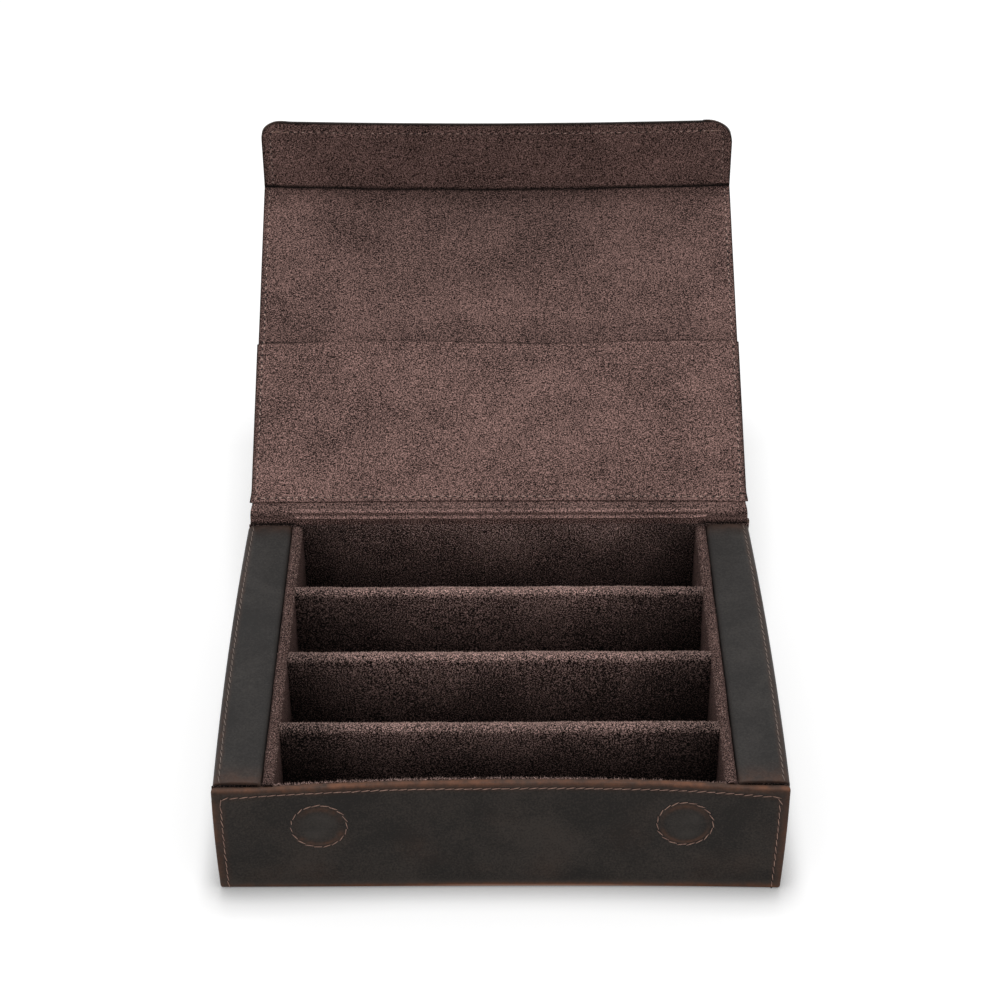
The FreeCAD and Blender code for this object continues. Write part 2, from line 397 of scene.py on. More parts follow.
class BentPath:
    """A line in a plane, of straight runs joined by arcs, that is walked by its length."""

    def __init__(self, corners: Sequence[Sequence[float]], radii: Sequence[float]) -> None:
        """Lays out the runs and arcs.

        Args:
            corners: The points where the straight runs would meet, with both ends.
            radii: The radius at each corner between the ends.
        """
        places = [np.array(c, float) for c in corners]
        headings = [math.atan2(*(b - a)[::-1]) for a, b in zip(places, places[1:])]
        self.stretches: list[tuple[float, Array, float, float]] = []
        walked, start = 0.0, places[0]
        for number, heading in enumerate(headings):
            towards = np.array([math.cos(heading), math.sin(heading)])
            end, turn = places[number + 1], 0.0
            if number < len(radii):
                turn = math.remainder(headings[number + 1] - heading, math.tau)
                end = end - towards * radii[number] * math.tan(abs(turn) / 2)
            self.stretches.append((walked, start, heading, 0.0))
            walked, start = walked + float((end - start) @ towards), end
            if turn:
                bend = math.copysign(1 / radii[number], turn)
                self.stretches.append((walked, start, heading, bend))
                walked += abs(turn) * radii[number]
                after = np.array([math.cos(heading + turn), math.sin(heading + turn)])
                start = start + (towards + after) * radii[number] * math.tan(abs(turn) / 2)
        self.length = walked

    def walk(self, along: Array, left: Array) -> tuple[Array, Array]:
        """Points on or beside the line.

        Args:
            along: How far each point is along the line.
            left: How far it is to the line's left.

        Returns:
            The two coordinates of each point.
        """
        first, second = np.zeros_like(along), np.zeros_like(along)
        starts = [s[0] for s in self.stretches[1:]] + [np.inf]
        begins = -np.inf
        for (start, origin, heading, bend), ends in zip(self.stretches, starts):
            here = (along >= begins) & (along < ends)
            begins = ends
            walked = along[here] - start
            turned = heading + bend * walked
            if bend:
                run_first = (np.sin(turned) - math.sin(heading)) / bend
                run_second = (math.cos(heading) - np.cos(turned)) / bend
            else:
                run_first, run_second = walked * math.cos(heading), walked * math.sin(heading)
            first[here] = origin[0] + run_first - left[here] * np.sin(turned)
            second[here] = origin[1] + run_second + left[here] * np.cos(turned)
        return first, second


@dataclass(frozen=True)
class Plane:
    """A panel's own axes: across the box, along the panel from a bending line, and up to its lining."""

    y: float
    z: float
    angle: float

    def out(self, local: Array) -> Array:
        """Points of the panel, put in the frame.

        Args:
            local: Across, along and up for each point.

        Returns:
            The points in the frame.
        """
        across, along, up = local.T
        cosine, sine = math.cos(self.angle), math.sin(self.angle)
        y = self.y + along * cosine - up * sine
        z = self.z + along * sine + up * cosine
        return np.stack([across, y, z], axis=1)

    def box(self, node: str) -> tuple[Array, Array]:
        """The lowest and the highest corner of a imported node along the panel's own axes."""
        local = self.into(np.array([v.co for v in frame["nodes"][node].data.vertices], float))
        return local.min(axis=0), local.max(axis=0)

    def into(self, points: Array) -> Array:
        """Points of the frame along the panel's own axes.

        Args:
            points: The points in the frame.

        Returns:
            Across, along and up for each point.
        """
        across, y, z = points.T
        cosine, sine = math.cos(self.angle), math.sin(self.angle)
        along = (y - self.y) * cosine + (z - self.z) * sine
        up = (z - self.z) * cosine - (y - self.y) * sine
        return np.stack([across, along, up], axis=1)

    def flat(self, along: float, up: float) -> Pair:
        """One point of the panel as (y, z) in the frame."""
        _, y, z = self.out(np.array([[0.0, along, up]]))[0]
        return float(y), float(z)


@dataclass(frozen=True)
class WaxedLeather:
    """Pull-up cowhide, oiled and waxed: brown black with soft clouds, satin, pale brown where it is rubbed.

    Each of its three noises has a size, a detail, a roughness and a distortion.
    """

    name: str = "waxed_pull_up_leather"
    dark: str = "#2d2a28"
    cloud: str = "#423c38"
    worn: str = "#78523f"
    raw: str = "#c09580"
    pulled: str = "#57524e"
    clouds: Noise = (30 * MM, 5.0, 0.6, 0.6)
    scuffs: Noise = (5 * MM, 6.0, 0.7, 0.0)
    pores: Noise = (0.8 * MM, 3.0, 0.65, 0.0)
    cloud_range: Pair = (0.86, 1.22)
    scuff_share: Pair = (0.2, 1.35)
    pore_depth: float = 0.09 * MM
    pore_strength: float = 0.35
    roughness: Pair = (0.42, 0.58)
    specular: float = 0.08

    def material(self) -> Material:
        """Builds the node tree.

        Returns:
            The material. It reads two marks of each point: wear, worn at 1 and rubbed down to the raw
            hide at 2, also the tone of a painted highlight along the fold under the front, and pull,
            stretched grey at 1.
        """
        made, tree, shader = blank(self.name)
        place = put(tree, "ShaderNodeTexCoord", out="Object")
        clouds, scuffs, pores = (
            put(
                tree, "ShaderNodeTexNoise",
                {"Vector": place, "Scale": 1 / size, "Detail": fine, "Roughness": rough, "Distortion": twist},
            )
            for size, fine, rough, twist in (self.clouds, self.scuffs, self.pores)
        )
        grain = put(tree, "ShaderNodeMath", {0: pores, 1: clouds}, operation="ADD")
        low, high = self.cloud_range
        cloudy = put(tree, "ShaderNodeMapRange", {"Value": grain, "From Min": low, "From Max": high})
        pull = put(tree, "ShaderNodeAttribute", attribute_name="pull", out="Fac")
        wear = put(tree, "ShaderNodeAttribute", attribute_name="wear", out="Fac")
        least, most = self.scuff_share
        uneven = put(
            tree, "ShaderNodeMapRange",
            {"Value": scuffs, "From Min": NOISE_LOW, "From Max": NOISE_HIGH, "To Min": least, "To Max": most},
        )
        rubbed = put(tree, "ShaderNodeMath", {0: wear, 1: uneven}, operation="MULTIPLY", use_clamp=True)
        # Past 1 the wear goes to the raw hide's colour, which also serves as a painted highlight.
        bare = put(tree, "ShaderNodeMath", {0: wear, 1: 1.0}, operation="SUBTRACT", use_clamp=True)
        colour: Socket | Colour = linear(self.dark)
        layers = ((cloudy, self.cloud), (pull, self.pulled), (rubbed, self.worn), (bare, self.raw))
        for share, code in layers:
            colour = put(
                tree, "ShaderNodeMix", {0: share, 6: colour, 7: linear(code)}, data_type="RGBA", out=2
            )
        low, high = self.roughness
        rough = put(
            tree, "ShaderNodeMapRange",
            {"Value": scuffs, "From Min": NOISE_LOW, "From Max": NOISE_HIGH, "To Min": low, "To Max": high},
        )
        bump = put(
            tree, "ShaderNodeBump",
            {"Height": pores, "Strength": self.pore_strength, "Distance": self.pore_depth},
        )
        feed(tree, shader, {"Base Color": colour, "Roughness": rough, "Normal": bump})
        feed(tree, shader, {"Specular IOR Level": self.specular})
        return made


@dataclass(frozen=True)
class BrushedSuede:
    """Brushed microfibre suede: a warm brown nap that clumps into pale and dark specks, with a soft sheen.

    Each of its two noises has a size, a detail, a roughness and a distortion.
    """

    name: str
    dark: str
    light: str
    # The tone that painted shade multiplies the colour towards.
    deep: str = "#202725"
    specks: Noise = (0.5 * MM, 1.0, 0.6, 0.0)
    speck_range: Pair = (0.4, 0.8)
    coarse_range: Pair = (0.485, 0.695)
    patches: Noise = (26 * MM, 3.0, 0.55, 0.2)
    patch_share: float = 0.032
    nap_depth: float = 0.5 * MM
    nap_strength: float = 0.7
    roughness: float = 0.95
    specular: float = 0.12
    sheen: float = 0.08
    sheen_roughness: float = 0.45

    def material(self) -> Material:
        """Builds the node tree.

        Returns:
            The material. It reads two marks of each point: laid is painted shade, multiplied in towards the
            deep tone, and coarse nap is more speckled.
        """
        made, tree, shader = blank(self.name)
        place = put(tree, "ShaderNodeTexCoord", out="Object")
        specks, patches = (
            put(
                tree, "ShaderNodeTexNoise",
                {"Vector": place, "Scale": 1 / size, "Detail": fine, "Roughness": rough, "Distortion": twist},
            )
            for size, fine, rough, twist in (self.specks, self.patches)
        )
        leaning = put(
            tree, "ShaderNodeMapRange",
            {
                "Value": patches, "From Min": NOISE_LOW, "From Max": NOISE_HIGH,
                "To Min": -self.patch_share, "To Max": self.patch_share,
            },
        )
        nap = put(tree, "ShaderNodeMath", {0: specks, 1: leaning}, operation="ADD")
        coarse = put(tree, "ShaderNodeAttribute", attribute_name="coarse", out="Fac")
        bounds = [
            put(tree, "ShaderNodeMapRange", {"Value": coarse, "To Min": low, "To Max": high})
            for low, high in zip(self.speck_range, self.coarse_range)
        ]
        share = put(
            tree, "ShaderNodeMapRange", {"Value": nap, "From Min": bounds[0], "From Max": bounds[1]}
        )
        brushed = put(
            tree, "ShaderNodeMix", {0: share, 6: linear(self.dark), 7: linear(self.light)},
            data_type="RGBA", out=2,
        )
        # The laid mark is painted shade, and on the lid's linings also their dark leather edges.
        laid = put(tree, "ShaderNodeAttribute", attribute_name="laid", out="Fac")
        colour = put(
            tree, "ShaderNodeMix", {0: laid, 6: brushed, 7: linear(self.deep)},
            data_type="RGBA", blend_type="MULTIPLY", out=2,
        )
        bump = put(
            tree, "ShaderNodeBump",
            {"Height": specks, "Strength": self.nap_strength, "Distance": self.nap_depth},
        )
        surface = {
            "Base Color": colour, "Normal": bump, "Roughness": self.roughness,
            "Specular IOR Level": self.specular, "Sheen Weight": self.sheen,
            "Sheen Roughness": self.sheen_roughness, "Sheen Tint": linear(self.light),
        }
        feed(tree, shader, surface)
        return made


@dataclass(frozen=True)
class Mottled:
    """A plain stuff with a fine two colour mottle: thread, board, fibreboard or plating."""

    name: str
    first: str
    second: str
    grain: float
    roughness: float
    metallic: float = 0.0
    bump: float = 0.0
    bump_strength: float = 0.4
    mottle_range: Pair = (0.35, 0.65)

    def material(self) -> Material:
        """Builds the node tree and returns the material."""
        made, tree, shader = blank(self.name)
        place = put(tree, "ShaderNodeTexCoord", out="Object")
        noise = put(
            tree, "ShaderNodeTexNoise",
            {"Vector": place, "Scale": 1 / self.grain, "Detail": 4.0, "Roughness": 0.65},
        )
        low, high = self.mottle_range
        share = put(tree, "ShaderNodeMapRange", {"Value": noise, "From Min": low, "From Max": high})
        colour = put(
            tree, "ShaderNodeMix", {0: share, 6: linear(self.first), 7: linear(self.second)},
            data_type="RGBA", out=2,
        )
        surface = {"Base Color": colour, "Roughness": self.roughness, "Metallic": self.metallic}
        if self.bump:
            surface["Normal"] = put(
                tree, "ShaderNodeBump",
                {"Height": noise, "Strength": self.bump_strength, "Distance": self.bump},
            )
        feed(tree, shader, surface)
        return made


class Finishes:
    """All materials of the box, made once."""

    def __init__(self) -> None:
        """Makes them."""
        self.leather = WaxedLeather().material()
        self.wall_leather = WaxedLeather("waxed_wall_leather", "#272524", "#383533", specular=0.13).material()
        self.lining = BrushedSuede("brushed_suede_lining", "#150e0c", "#c69d94").material()
        # A lighter copy of the lining suede: where its painted shade lifts, on the hinge's ridges and the
        # tray walls' tops, its colour stands for light falling there.
        self.edging = BrushedSuede("brushed_suede_edging", "#150e0c", "#e3b5ab").material()
        self.tray = BrushedSuede(
            "deep_nap_suede", "#080404", "#edc4ba", speck_range=(0.485, 0.695), patch_share=0.03
        ).material()
        self.nap = Mottled("suede_nap_fibre", "#5a4139", "#e6c3b8", 0.9 * MM, 0.9).material()
        self.tan_thread = Mottled(
            "waxed_tan_thread", "#84645a", "#bf9a88", 1.2 * MM, 0.6, bump=0.05 * MM
        ).material()
        self.dark_thread = Mottled("waxed_brown_thread", "#8a6e64", "#c9aa9e", 1.2 * MM, 0.7).material()
        self.grey_thread = Mottled("waxed_grey_thread", "#574b45", "#85766d", 1.2 * MM, 0.7).material()
        self.hole = Mottled("needle_hole_shadow", "#0b0807", "#140e0c", 1 * MM, 0.9).material()
        self.board = Mottled("grey_board", "#3d3a37", "#4c4845", 1.5 * MM, 0.9, bump=0.05 * MM).material()
        self.core = Mottled("raw_fibreboard", "#8a6f4e", "#a98a63", 0.8 * MM, 0.85, bump=0.06 * MM).material()
        self.nickel = Mottled("nickel_plating", "#a6a39d", "#b9b6b0", 2 * MM, 0.25, metallic=1.0).material()


def dress(
    piece: Piece,
    finish: Material,
    slot: Slot | None,
    nodes: Sequence[str] = (),
    body: Body | None = None,
) -> None:
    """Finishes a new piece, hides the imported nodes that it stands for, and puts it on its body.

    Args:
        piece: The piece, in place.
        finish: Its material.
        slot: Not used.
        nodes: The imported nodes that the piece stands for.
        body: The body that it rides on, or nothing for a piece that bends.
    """
    if not piece.data.materials:
        piece.data.materials.append(finish)
    if nodes:
        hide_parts(*nodes)
    if body is not None:
        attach(piece, body.value)
    log.info("%s: %d faces", piece.name, len(piece.data.polygons))


@dataclass(frozen=True)
class StitchRow:
    """A seam: points on a surface, the direction away from it at each point, and whether the row closes."""

    points: Array
    ups: Array
    closed: bool = False

    @classmethod
    def on(
        cls, place: Place, across: Array, along: Array, depth: float, away: int, closed: bool = False
    ) -> "StitchRow":
        """A row drawn on a panel's flat pattern.

        Args:
            place: The panel's own placing.
            across: The first coordinate of each point.
            along: The second coordinate of each point.
            depth: The third coordinate, on the surface.
            away: 1 or -1, the way out of the surface along the third coordinate.
            closed: Whether the row is a ring.

        Returns:
            The row on the panel.
        """
        step = 0.2 * MM
        flat = np.stack([across, along, np.full_like(across, depth)], axis=1)
        lifted = flat + np.array([0, 0, away * step])
        points = place(flat)
        ups = place(lifted) - points
        return cls(points, ups / np.linalg.norm(ups, axis=1, keepdims=True), closed)


@dataclass
class Stitching:
    """Saddle stitches with a dark bead between each two that stands for the shade in a needle hole, set along
    rows by a node tree.
    """

    pitch: float = 3.4 * MM
    stitch_length: float = 4.0 * MM
    thread_radius: float = 0.18 * MM
    hole_radius: float = 0.3 * MM
    hole_flatness: float = 0.3
    slant: float = math.radians(9)
    uneven: float = math.radians(5)
    seed: int = 7
    tree: Tree = field(init=False)

    def __post_init__(self) -> None:
        """Builds the node tree."""
        numbers = ("Pitch", "Stitch Length", "Thread Radius", "Hole Radius", "Slant", "Unevenness")
        inputs = {"Rows": "Geometry", **dict.fromkeys(numbers, "Float"), "Seed": "Int"}
        inputs.update(dict.fromkeys(("Thread", "Hole"), "Material"))
        tree = grower("saddle_stitch_row", inputs, "Stitches")
        given = put(tree, "NodeGroupInput").node.outputs
        line = put(tree, "GeometryNodeMeshToCurve", {"Mesh": given["Rows"]})
        spaced = put(
            tree, "GeometryNodeResampleCurve", {"Curve": line, "Length": given["Pitch"]}, mode="LENGTH"
        )
        away = put(tree, "GeometryNodeInputNamedAttribute", {"Name": "away"}, data_type="FLOAT_VECTOR")
        tangent = put(tree, "GeometryNodeInputTangent")
        stood = put(tree, "FunctionNodeAlignRotationToVector", {"Vector": away}, axis="Z")
        laid = put(
            tree, "FunctionNodeAlignRotationToVector", {"Rotation": stood, "Vector": tangent},
            axis="X", pivot_axis="Z",
        )
        slants = {0: given["Slant"], 1: given["Unevenness"]}
        least = put(tree, "ShaderNodeMath", slants, operation="SUBTRACT")
        most = put(tree, "ShaderNodeMath", slants, operation="ADD")
        turn = put(
            tree, "FunctionNodeRandomValue", {2: least, 3: most, "Seed": given["Seed"]},
            data_type="FLOAT", out=1,
        )
        about = put(tree, "ShaderNodeCombineXYZ", {"Z": turn})
        slanted = put(
            tree, "FunctionNodeRotateRotation", {"Rotation": laid, "Rotate By": about}, rotation_space="LOCAL"
        )
        bead = put(tree, "GeometryNodeMeshUVSphere", {"Segments": 8, "Rings": 6, "Radius": 1.0})
        half, shift, flat = (
            put(tree, "ShaderNodeMath", {0: given[size], 1: share}, operation="MULTIPLY")
            for size, share in (("Stitch Length", 0.5), ("Pitch", 0.5), ("Hole Radius", self.hole_flatness))
        )
        thread_size = put(
            tree, "ShaderNodeCombineXYZ",
            {"X": half, "Y": given["Thread Radius"], "Z": given["Thread Radius"]},
        )
        threads = put(
            tree, "GeometryNodeInstanceOnPoints",
            {"Points": spaced, "Instance": bead, "Rotation": slanted, "Scale": thread_size},
        )
        onwards = put(tree, "ShaderNodeVectorMath", {0: tangent, "Scale": shift}, operation="SCALE")
        between = put(tree, "GeometryNodeSetPosition", {"Geometry": spaced, "Offset": onwards})
        hole_size = put(
            tree, "ShaderNodeCombineXYZ", {"X": given["Hole Radius"], "Y": given["Hole Radius"], "Z": flat}
        )
        holes = put(
            tree, "GeometryNodeInstanceOnPoints",
            {"Points": between, "Instance": bead, "Rotation": laid, "Scale": hole_size},
        )
        joined = put(tree, "GeometryNodeJoinGeometry")
        for instances, material in ((threads, "Thread"), (holes, "Hole")):
            real = put(tree, "GeometryNodeRealizeInstances", {"Geometry": instances})
            done = put(tree, "GeometryNodeSetMaterial", {"Geometry": real, "Material": given[material]})
            feed(tree, joined.node, {"Geometry": done})
        put(tree, "NodeGroupOutput", {"Stitches": joined})
        self.tree = tree

    def sew(self, name: str, rows: Sequence[StitchRow], thread: Material, hole: Material) -> Piece:
        """Makes the stitches of some rows as one plain mesh.

        Args:
            name: The piece's name.
            rows: The rows, all on one body.
            thread: The thread's material.
            hole: The needle holes' material.

        Returns:
            The stitches, with no modifier left.
        """
        points, ups, edges, count = [], [], [], 0
        for row in rows:
            size = len(row.points)
            points.append(row.points)
            ups.append(row.ups)
            edges += [(count + i, count + i + 1) for i in range(size - 1)]
            if row.closed:
                edges.append((count + size - 1, count))
            count += size
        mesh = bpy.data.meshes.new(name)
        mesh.from_pydata(np.concatenate(points).tolist(), edges, [])
        layer = mesh.attributes.new("away", "FLOAT_VECTOR", "POINT")
        layer.data.foreach_set("vector", np.concatenate(ups).astype(np.float32).ravel())
        values = {
            "Pitch": self.pitch, "Stitch Length": self.stitch_length, "Thread Radius": self.thread_radius,
            "Hole Radius": self.hole_radius, "Slant": self.slant, "Unevenness": self.uneven,
            "Seed": self.seed, "Thread": thread, "Hole": hole,
        }
        return grown(name, mesh, self.tree, values)


def grown(name: str, mesh: bpy.types.Mesh, tree: Tree, values: dict[str, object]) -> Piece:
    """Runs a node tree on a mesh and keeps the result as a plain mesh.

    Args:
        name: The new piece's name.
        mesh: What the tree starts from.
        tree: The node tree.
        values: The tree's named inputs.

    Returns:
        An object with the tree's result and no modifier.
    """
    source = shown(name + "_source", mesh)
    modifier = source.modifiers.new("grow", "NODES")
    modifier.node_group = tree
    for item in tree.interface.items_tree:
        if item.name in values:
            modifier[item.identifier] = values[item.name]
    ready = source.evaluated_get(bpy.context.evaluated_depsgraph_get())
    result = bpy.data.meshes.new_from_object(ready)
    result.name = name
    result.shade_smooth()
    bpy.data.objects.remove(source)
    return shown(name, result)


@dataclass
class Nap:
    """Short fibres that stand on suede edges, set by a node tree where the nap mark says."""

    density: float = 6.0e6
    length: float = 0.6 * MM
    root: float = 0.09 * MM
    lean: float = math.radians(48)
    sizes: Pair = (0.45, 1.25)
    seed: int = 21
    tree: Tree = field(init=False)

    def __post_init__(self) -> None:
        """Builds the node tree."""
        numbers = ("Density", "Length", "Root", "Lean")
        inputs = {"Suede": "Geometry", **dict.fromkeys(numbers, "Float"), "Seed": "Int", "Fibre": "Material"}
        tree = grower("suede_nap_fibres", inputs, "Fibres")
        given = put(tree, "NodeGroupInput").node.outputs
        share = put(tree, "GeometryNodeInputNamedAttribute", {"Name": "nap"}, data_type="FLOAT")
        density = put(tree, "ShaderNodeMath", {0: given["Density"], 1: share}, operation="MULTIPLY")
        spread = put(
            tree, "GeometryNodeDistributePointsOnFaces",
            {"Mesh": given["Suede"], "Density": density, "Seed": given["Seed"]}, distribute_method="RANDOM",
        ).node.outputs
        back = put(tree, "ShaderNodeMath", {0: given["Lean"], 1: -1.0}, operation="MULTIPLY")
        least = put(tree, "ShaderNodeCombineXYZ", {"X": back, "Y": back})
        most = put(tree, "ShaderNodeCombineXYZ", {"X": given["Lean"], "Y": given["Lean"], "Z": math.tau})
        tilt = put(
            tree, "FunctionNodeRandomValue",
            {0: least, 1: most, "Seed": given["Seed"]}, data_type="FLOAT_VECTOR",
        )
        leaning = put(
            tree, "FunctionNodeRotateRotation", {"Rotation": spread["Rotation"], "Rotate By": tilt},
            rotation_space="LOCAL",
        )
        size = put(
            tree, "FunctionNodeRandomValue",
            {2: self.sizes[0], 3: self.sizes[1], "Seed": given["Seed"]}, data_type="FLOAT", out=1,
        )
        fibre = put(
            tree, "GeometryNodeMeshCone",
            {"Vertices": 3, "Radius Top": 0.0, "Radius Bottom": given["Root"], "Depth": given["Length"]},
            fill_type="NONE",
        )
        standing = put(
            tree, "GeometryNodeInstanceOnPoints",
            {"Points": spread["Points"], "Instance": fibre, "Rotation": leaning, "Scale": size},
        )
        real = put(tree, "GeometryNodeRealizeInstances", {"Geometry": standing})
        done = put(tree, "GeometryNodeSetMaterial", {"Geometry": real, "Material": given["Fibre"]})
        put(tree, "NodeGroupOutput", {"Fibres": done})
        self.tree = tree

    def grow(self, name: str, shells: Sequence[Shell], fibre: Material) -> Piece:
        """Grows the fibres of some suede pieces as one plain mesh.

        Args:
            name: The piece's name.
            shells: The suede, in place, with nap marks.
            fibre: The fibres' material.

        Returns:
            The fibres, with no modifier left.
        """
        counts = np.cumsum([0] + [len(s.points) for s in shells])
        points = np.concatenate([s.points for s in shells])
        faces = np.concatenate([s.faces + start for s, start in zip(shells, counts)])
        marks = np.concatenate([s.marks["nap"] for s in shells])
        mesh = Shell(points, faces, {"nap": marks}).to_mesh(name)
        values = {
            "Density": self.density, "Length": self.length, "Root": self.root, "Lean": self.lean,
            "Seed": self.seed, "Fibre": fibre,
        }
        return grown(name, mesh, self.tree, values)


@dataclass
class BasePanel:
    """The leather strip that is the front, the underside and the back, turned in round its boards."""

    finishes: Finishes
    leather: float = 1.5 * MM
    turn: float = 1.5 * MM
    fold_radius: float = 3.0 * MM
    crease_radius: float = 1.4 * MM
    crease_share: float = 0.9
    edge_radius: float = 0.9 * MM
    lip_groove: float = 2.3 * MM
    lip_reach: float = 0.9 * MM
    lip_pinch: Mark = Mark(0.5, 0.25 * MM)
    lip_step: float = 0.3
    lip_step_width: float = 0.3 * MM
    corner_lift: Mark = Mark(0.9 * MM, 4 * MM)
    corner_reach: float = 9 * MM
    right_rise: Mark = Mark(0.8 * MM, 5 * MM)
    right_rise_x: float = 62 * MM
    right_rise_reach: float = 34 * MM
    barrel: float = 0.7 * MM
    barrel_foot: float = 0.35
    barrel_belly: float = 2.6
    toe: float = 0.9 * MM
    toe_tilt: float = 0.7
    toe_reach: float = 30 * MM
    toe_middle: float = 0.15
    left_tuck: float = 0.4 * MM
    right_lean: float = 0.35 * MM
    disc_rise: float = 0.32 * MM
    disc_radius: float = 9.6 * MM
    disc_edge: float = 1.4 * MM
    ring_radius: float = 10.2 * MM
    ring_height: float = 0.96
    ring_aside: float = 0.8 * MM
    ring_raise: Pair = (-0.1 * MM, 0.7 * MM)
    ring_groove: Mark = Mark(0.22 * MM, 0.8 * MM)
    ring_margin: float = 2 * MM
    ring_points: int = 90
    seam_inset: float = 3.3 * MM
    seam_foot: float = 0.8 * MM
    seam_groove: Mark = Mark(0.22 * MM, 0.9 * MM)
    lip_seam_drop: float = 4.3 * MM
    lip_seam_dip: float = 1.3 * MM
    stitch_lift: float = 0.12 * MM
    panel_wave: Wave = Wave(0.14 * MM, 42 * MM, 3)
    lip_pucker: Wave = Wave(0.05 * MM, 3 * MM, 8)
    pucker_reach: float = 3 * MM
    lip_rub: Mark = Mark(1.05, 1.7 * MM)
    lip_share: float = 0.8
    lip_patches: Wave = Wave(0.3, 6 * MM, 9)
    lip_squeeze: int = 3
    groove_dark: Mark = Mark(0.9, 0.3 * MM)
    side_rub: Mark = Mark(0.7, 2.4 * MM)
    low_rub: Mark = Mark(0.5, 1.5 * MM)
    low_rise: float = 0.2 * MM
    low_left: float = 0.35
    low_start: float = -60 * MM
    low_ramp: float = 80 * MM
    raw_least: float = 0.2
    raw_spread: Mark = Mark(0.8, 60 * MM)
    raw_x: float = 10 * MM
    raw_drop: float = 0.4 * MM
    raw_width: float = 1.0 * MM
    disc_rub: tuple[float, float, float] = (0.1, 0.6, 0.3)
    disc_fade: float = 8 * MM
    disc_rub_inset: float = 0.9 * MM
    disc_rub_width: float = 0.9 * MM
    seam_rub: Mark = Mark(0.2, 1.0 * MM)
    haze: Wave = Wave(0.1, 26 * MM, 6)
    patches: Wave = Wave(0.25, 30 * MM, 5)
    disc_pull: float = 0.25
    disc_pull_inset: float = 1 * MM
    disc_pull_fade: float = 4 * MM
    pull_patches: Wave = Wave(0.6, 9 * MM, 12)
    fold_pull: Mark = Mark(0.35, 1.8 * MM)
    fold_pull_rise: float = 0.8 * MM
    cell: float = 2.4 * MM
    ring_cell: float = 0.7 * MM
    edge_zone: float = 5 * MM
    edge_cell: float = 0.6 * MM
    along_cell: float = 4 * MM
    front_cell: float = 0.75 * MM
    bend_cell: float = 0.3 * MM
    half_width: float = field(init=False)
    front_y: float = field(init=False)
    back_y: float = field(init=False)
    rim_z: float = field(init=False)
    lip_drop: float = field(init=False)
    thick: float = field(init=False)
    sag: float = field(init=False)
    magnet: Vector = field(init=False)
    path: BentPath = field(init=False)

    def __post_init__(self) -> None:
        """Reads the strip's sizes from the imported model."""
        low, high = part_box("base_leather")
        self.half_width, self.front_y, self.back_y, self.rim_z = high.x, low.y, high.y, high.z
        wall_low, wall_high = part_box("back_lining")
        self.thick = self.back_y - wall_high.y
        lining_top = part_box("front_lining")[1]
        self.lip_drop = self.rim_z - lining_top.z
        rise = (lining_top.z - self.fold_radius) / (self.rim_z - self.fold_radius)
        self.sag = (lining_top.y - (self.front_y + self.back_y - wall_low.y)) / rise
        magnet_low, magnet_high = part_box("front_magnet_right")
        self.magnet = (magnet_low + magnet_high) / 2
        corners = [(self.front_y, self.rim_z), (self.front_y, 0), (self.back_y, 0), (self.back_y, self.rim_z)]
        self.path = BentPath(corners, [self.crease_radius, self.crease_radius])

    @property
    def front_length(self) -> float:
        """How far the strip runs down the front before its fold."""
        return self.rim_z - self.crease_radius

    def sag_at(self, x: Array, z: Array) -> Array:
        """How far the front has sagged inwards, by the place across and above the floor."""
        rise = np.clip((z - self.fold_radius) / (self.rim_z - self.fold_radius), 0, None)
        return self.sag * rise * (1 - (x / self.half_width) ** 2)

    def ring(self, x: Array, along: Array) -> Array:
        """Distance of points on the front from the middle of the nearest ring, a low oval."""
        aside = np.abs(x - self.ring_aside) - self.magnet.x
        return np.hypot(aside, self.above_ring(x, along) / self.ring_height)

    def above_ring(self, x: Array, along: Array) -> Array:
        """How far points on the front lie above the middle of the nearest ring."""
        left, right = self.ring_raise
        return self.rim_z - along - self.magnet.z - np.where(x < 0, left, right)

    def seam_distance(self, x: Array, along: Array) -> Array:
        """Distance of points on the front from the nearest seam along its top and sides."""
        from_side = np.abs(self.half_width - np.abs(x) - self.seam_inset)
        from_top = np.abs(along - self.lip_seam(x))
        return np.minimum(np.where(along > self.lip_seam_drop - self.turn, from_side, 1.0), from_top)

    def lip_seam(self, x: Array) -> Array:
        """Where the seam under the lip lies along the strip; it dips towards its ends."""
        return self.lip_seam_drop + self.lip_seam_dip * (x / self.half_width) ** 6

    def relief(self, x: Array, along: Array) -> Array:
        """How far the leather stands out from its flat shape.

        Args:
            x: Across the strip.
            along: Along the strip, from the front lip.

        Returns:
            The outward move of each point.
        """
        front = along < self.front_length
        ring = self.ring(x, along)
        disc = self.disc_rise * ease((self.disc_radius - ring) / self.disc_edge)
        seam = self.seam_groove.at(self.seam_distance(x, along))
        groove = np.maximum(seam, self.ring_groove.at(ring - self.ring_radius))
        rest = self.panel_wave.at(x, along)
        rest = rest + self.lip_pucker.at(x, along) * bell(along - self.lip_drop, self.pucker_reach)
        flat_below = (along > self.front_length) & (along < self.path.length - self.front_length)
        return np.where(front, disc - groove, 0) + np.where(flat_below, 0, rest)

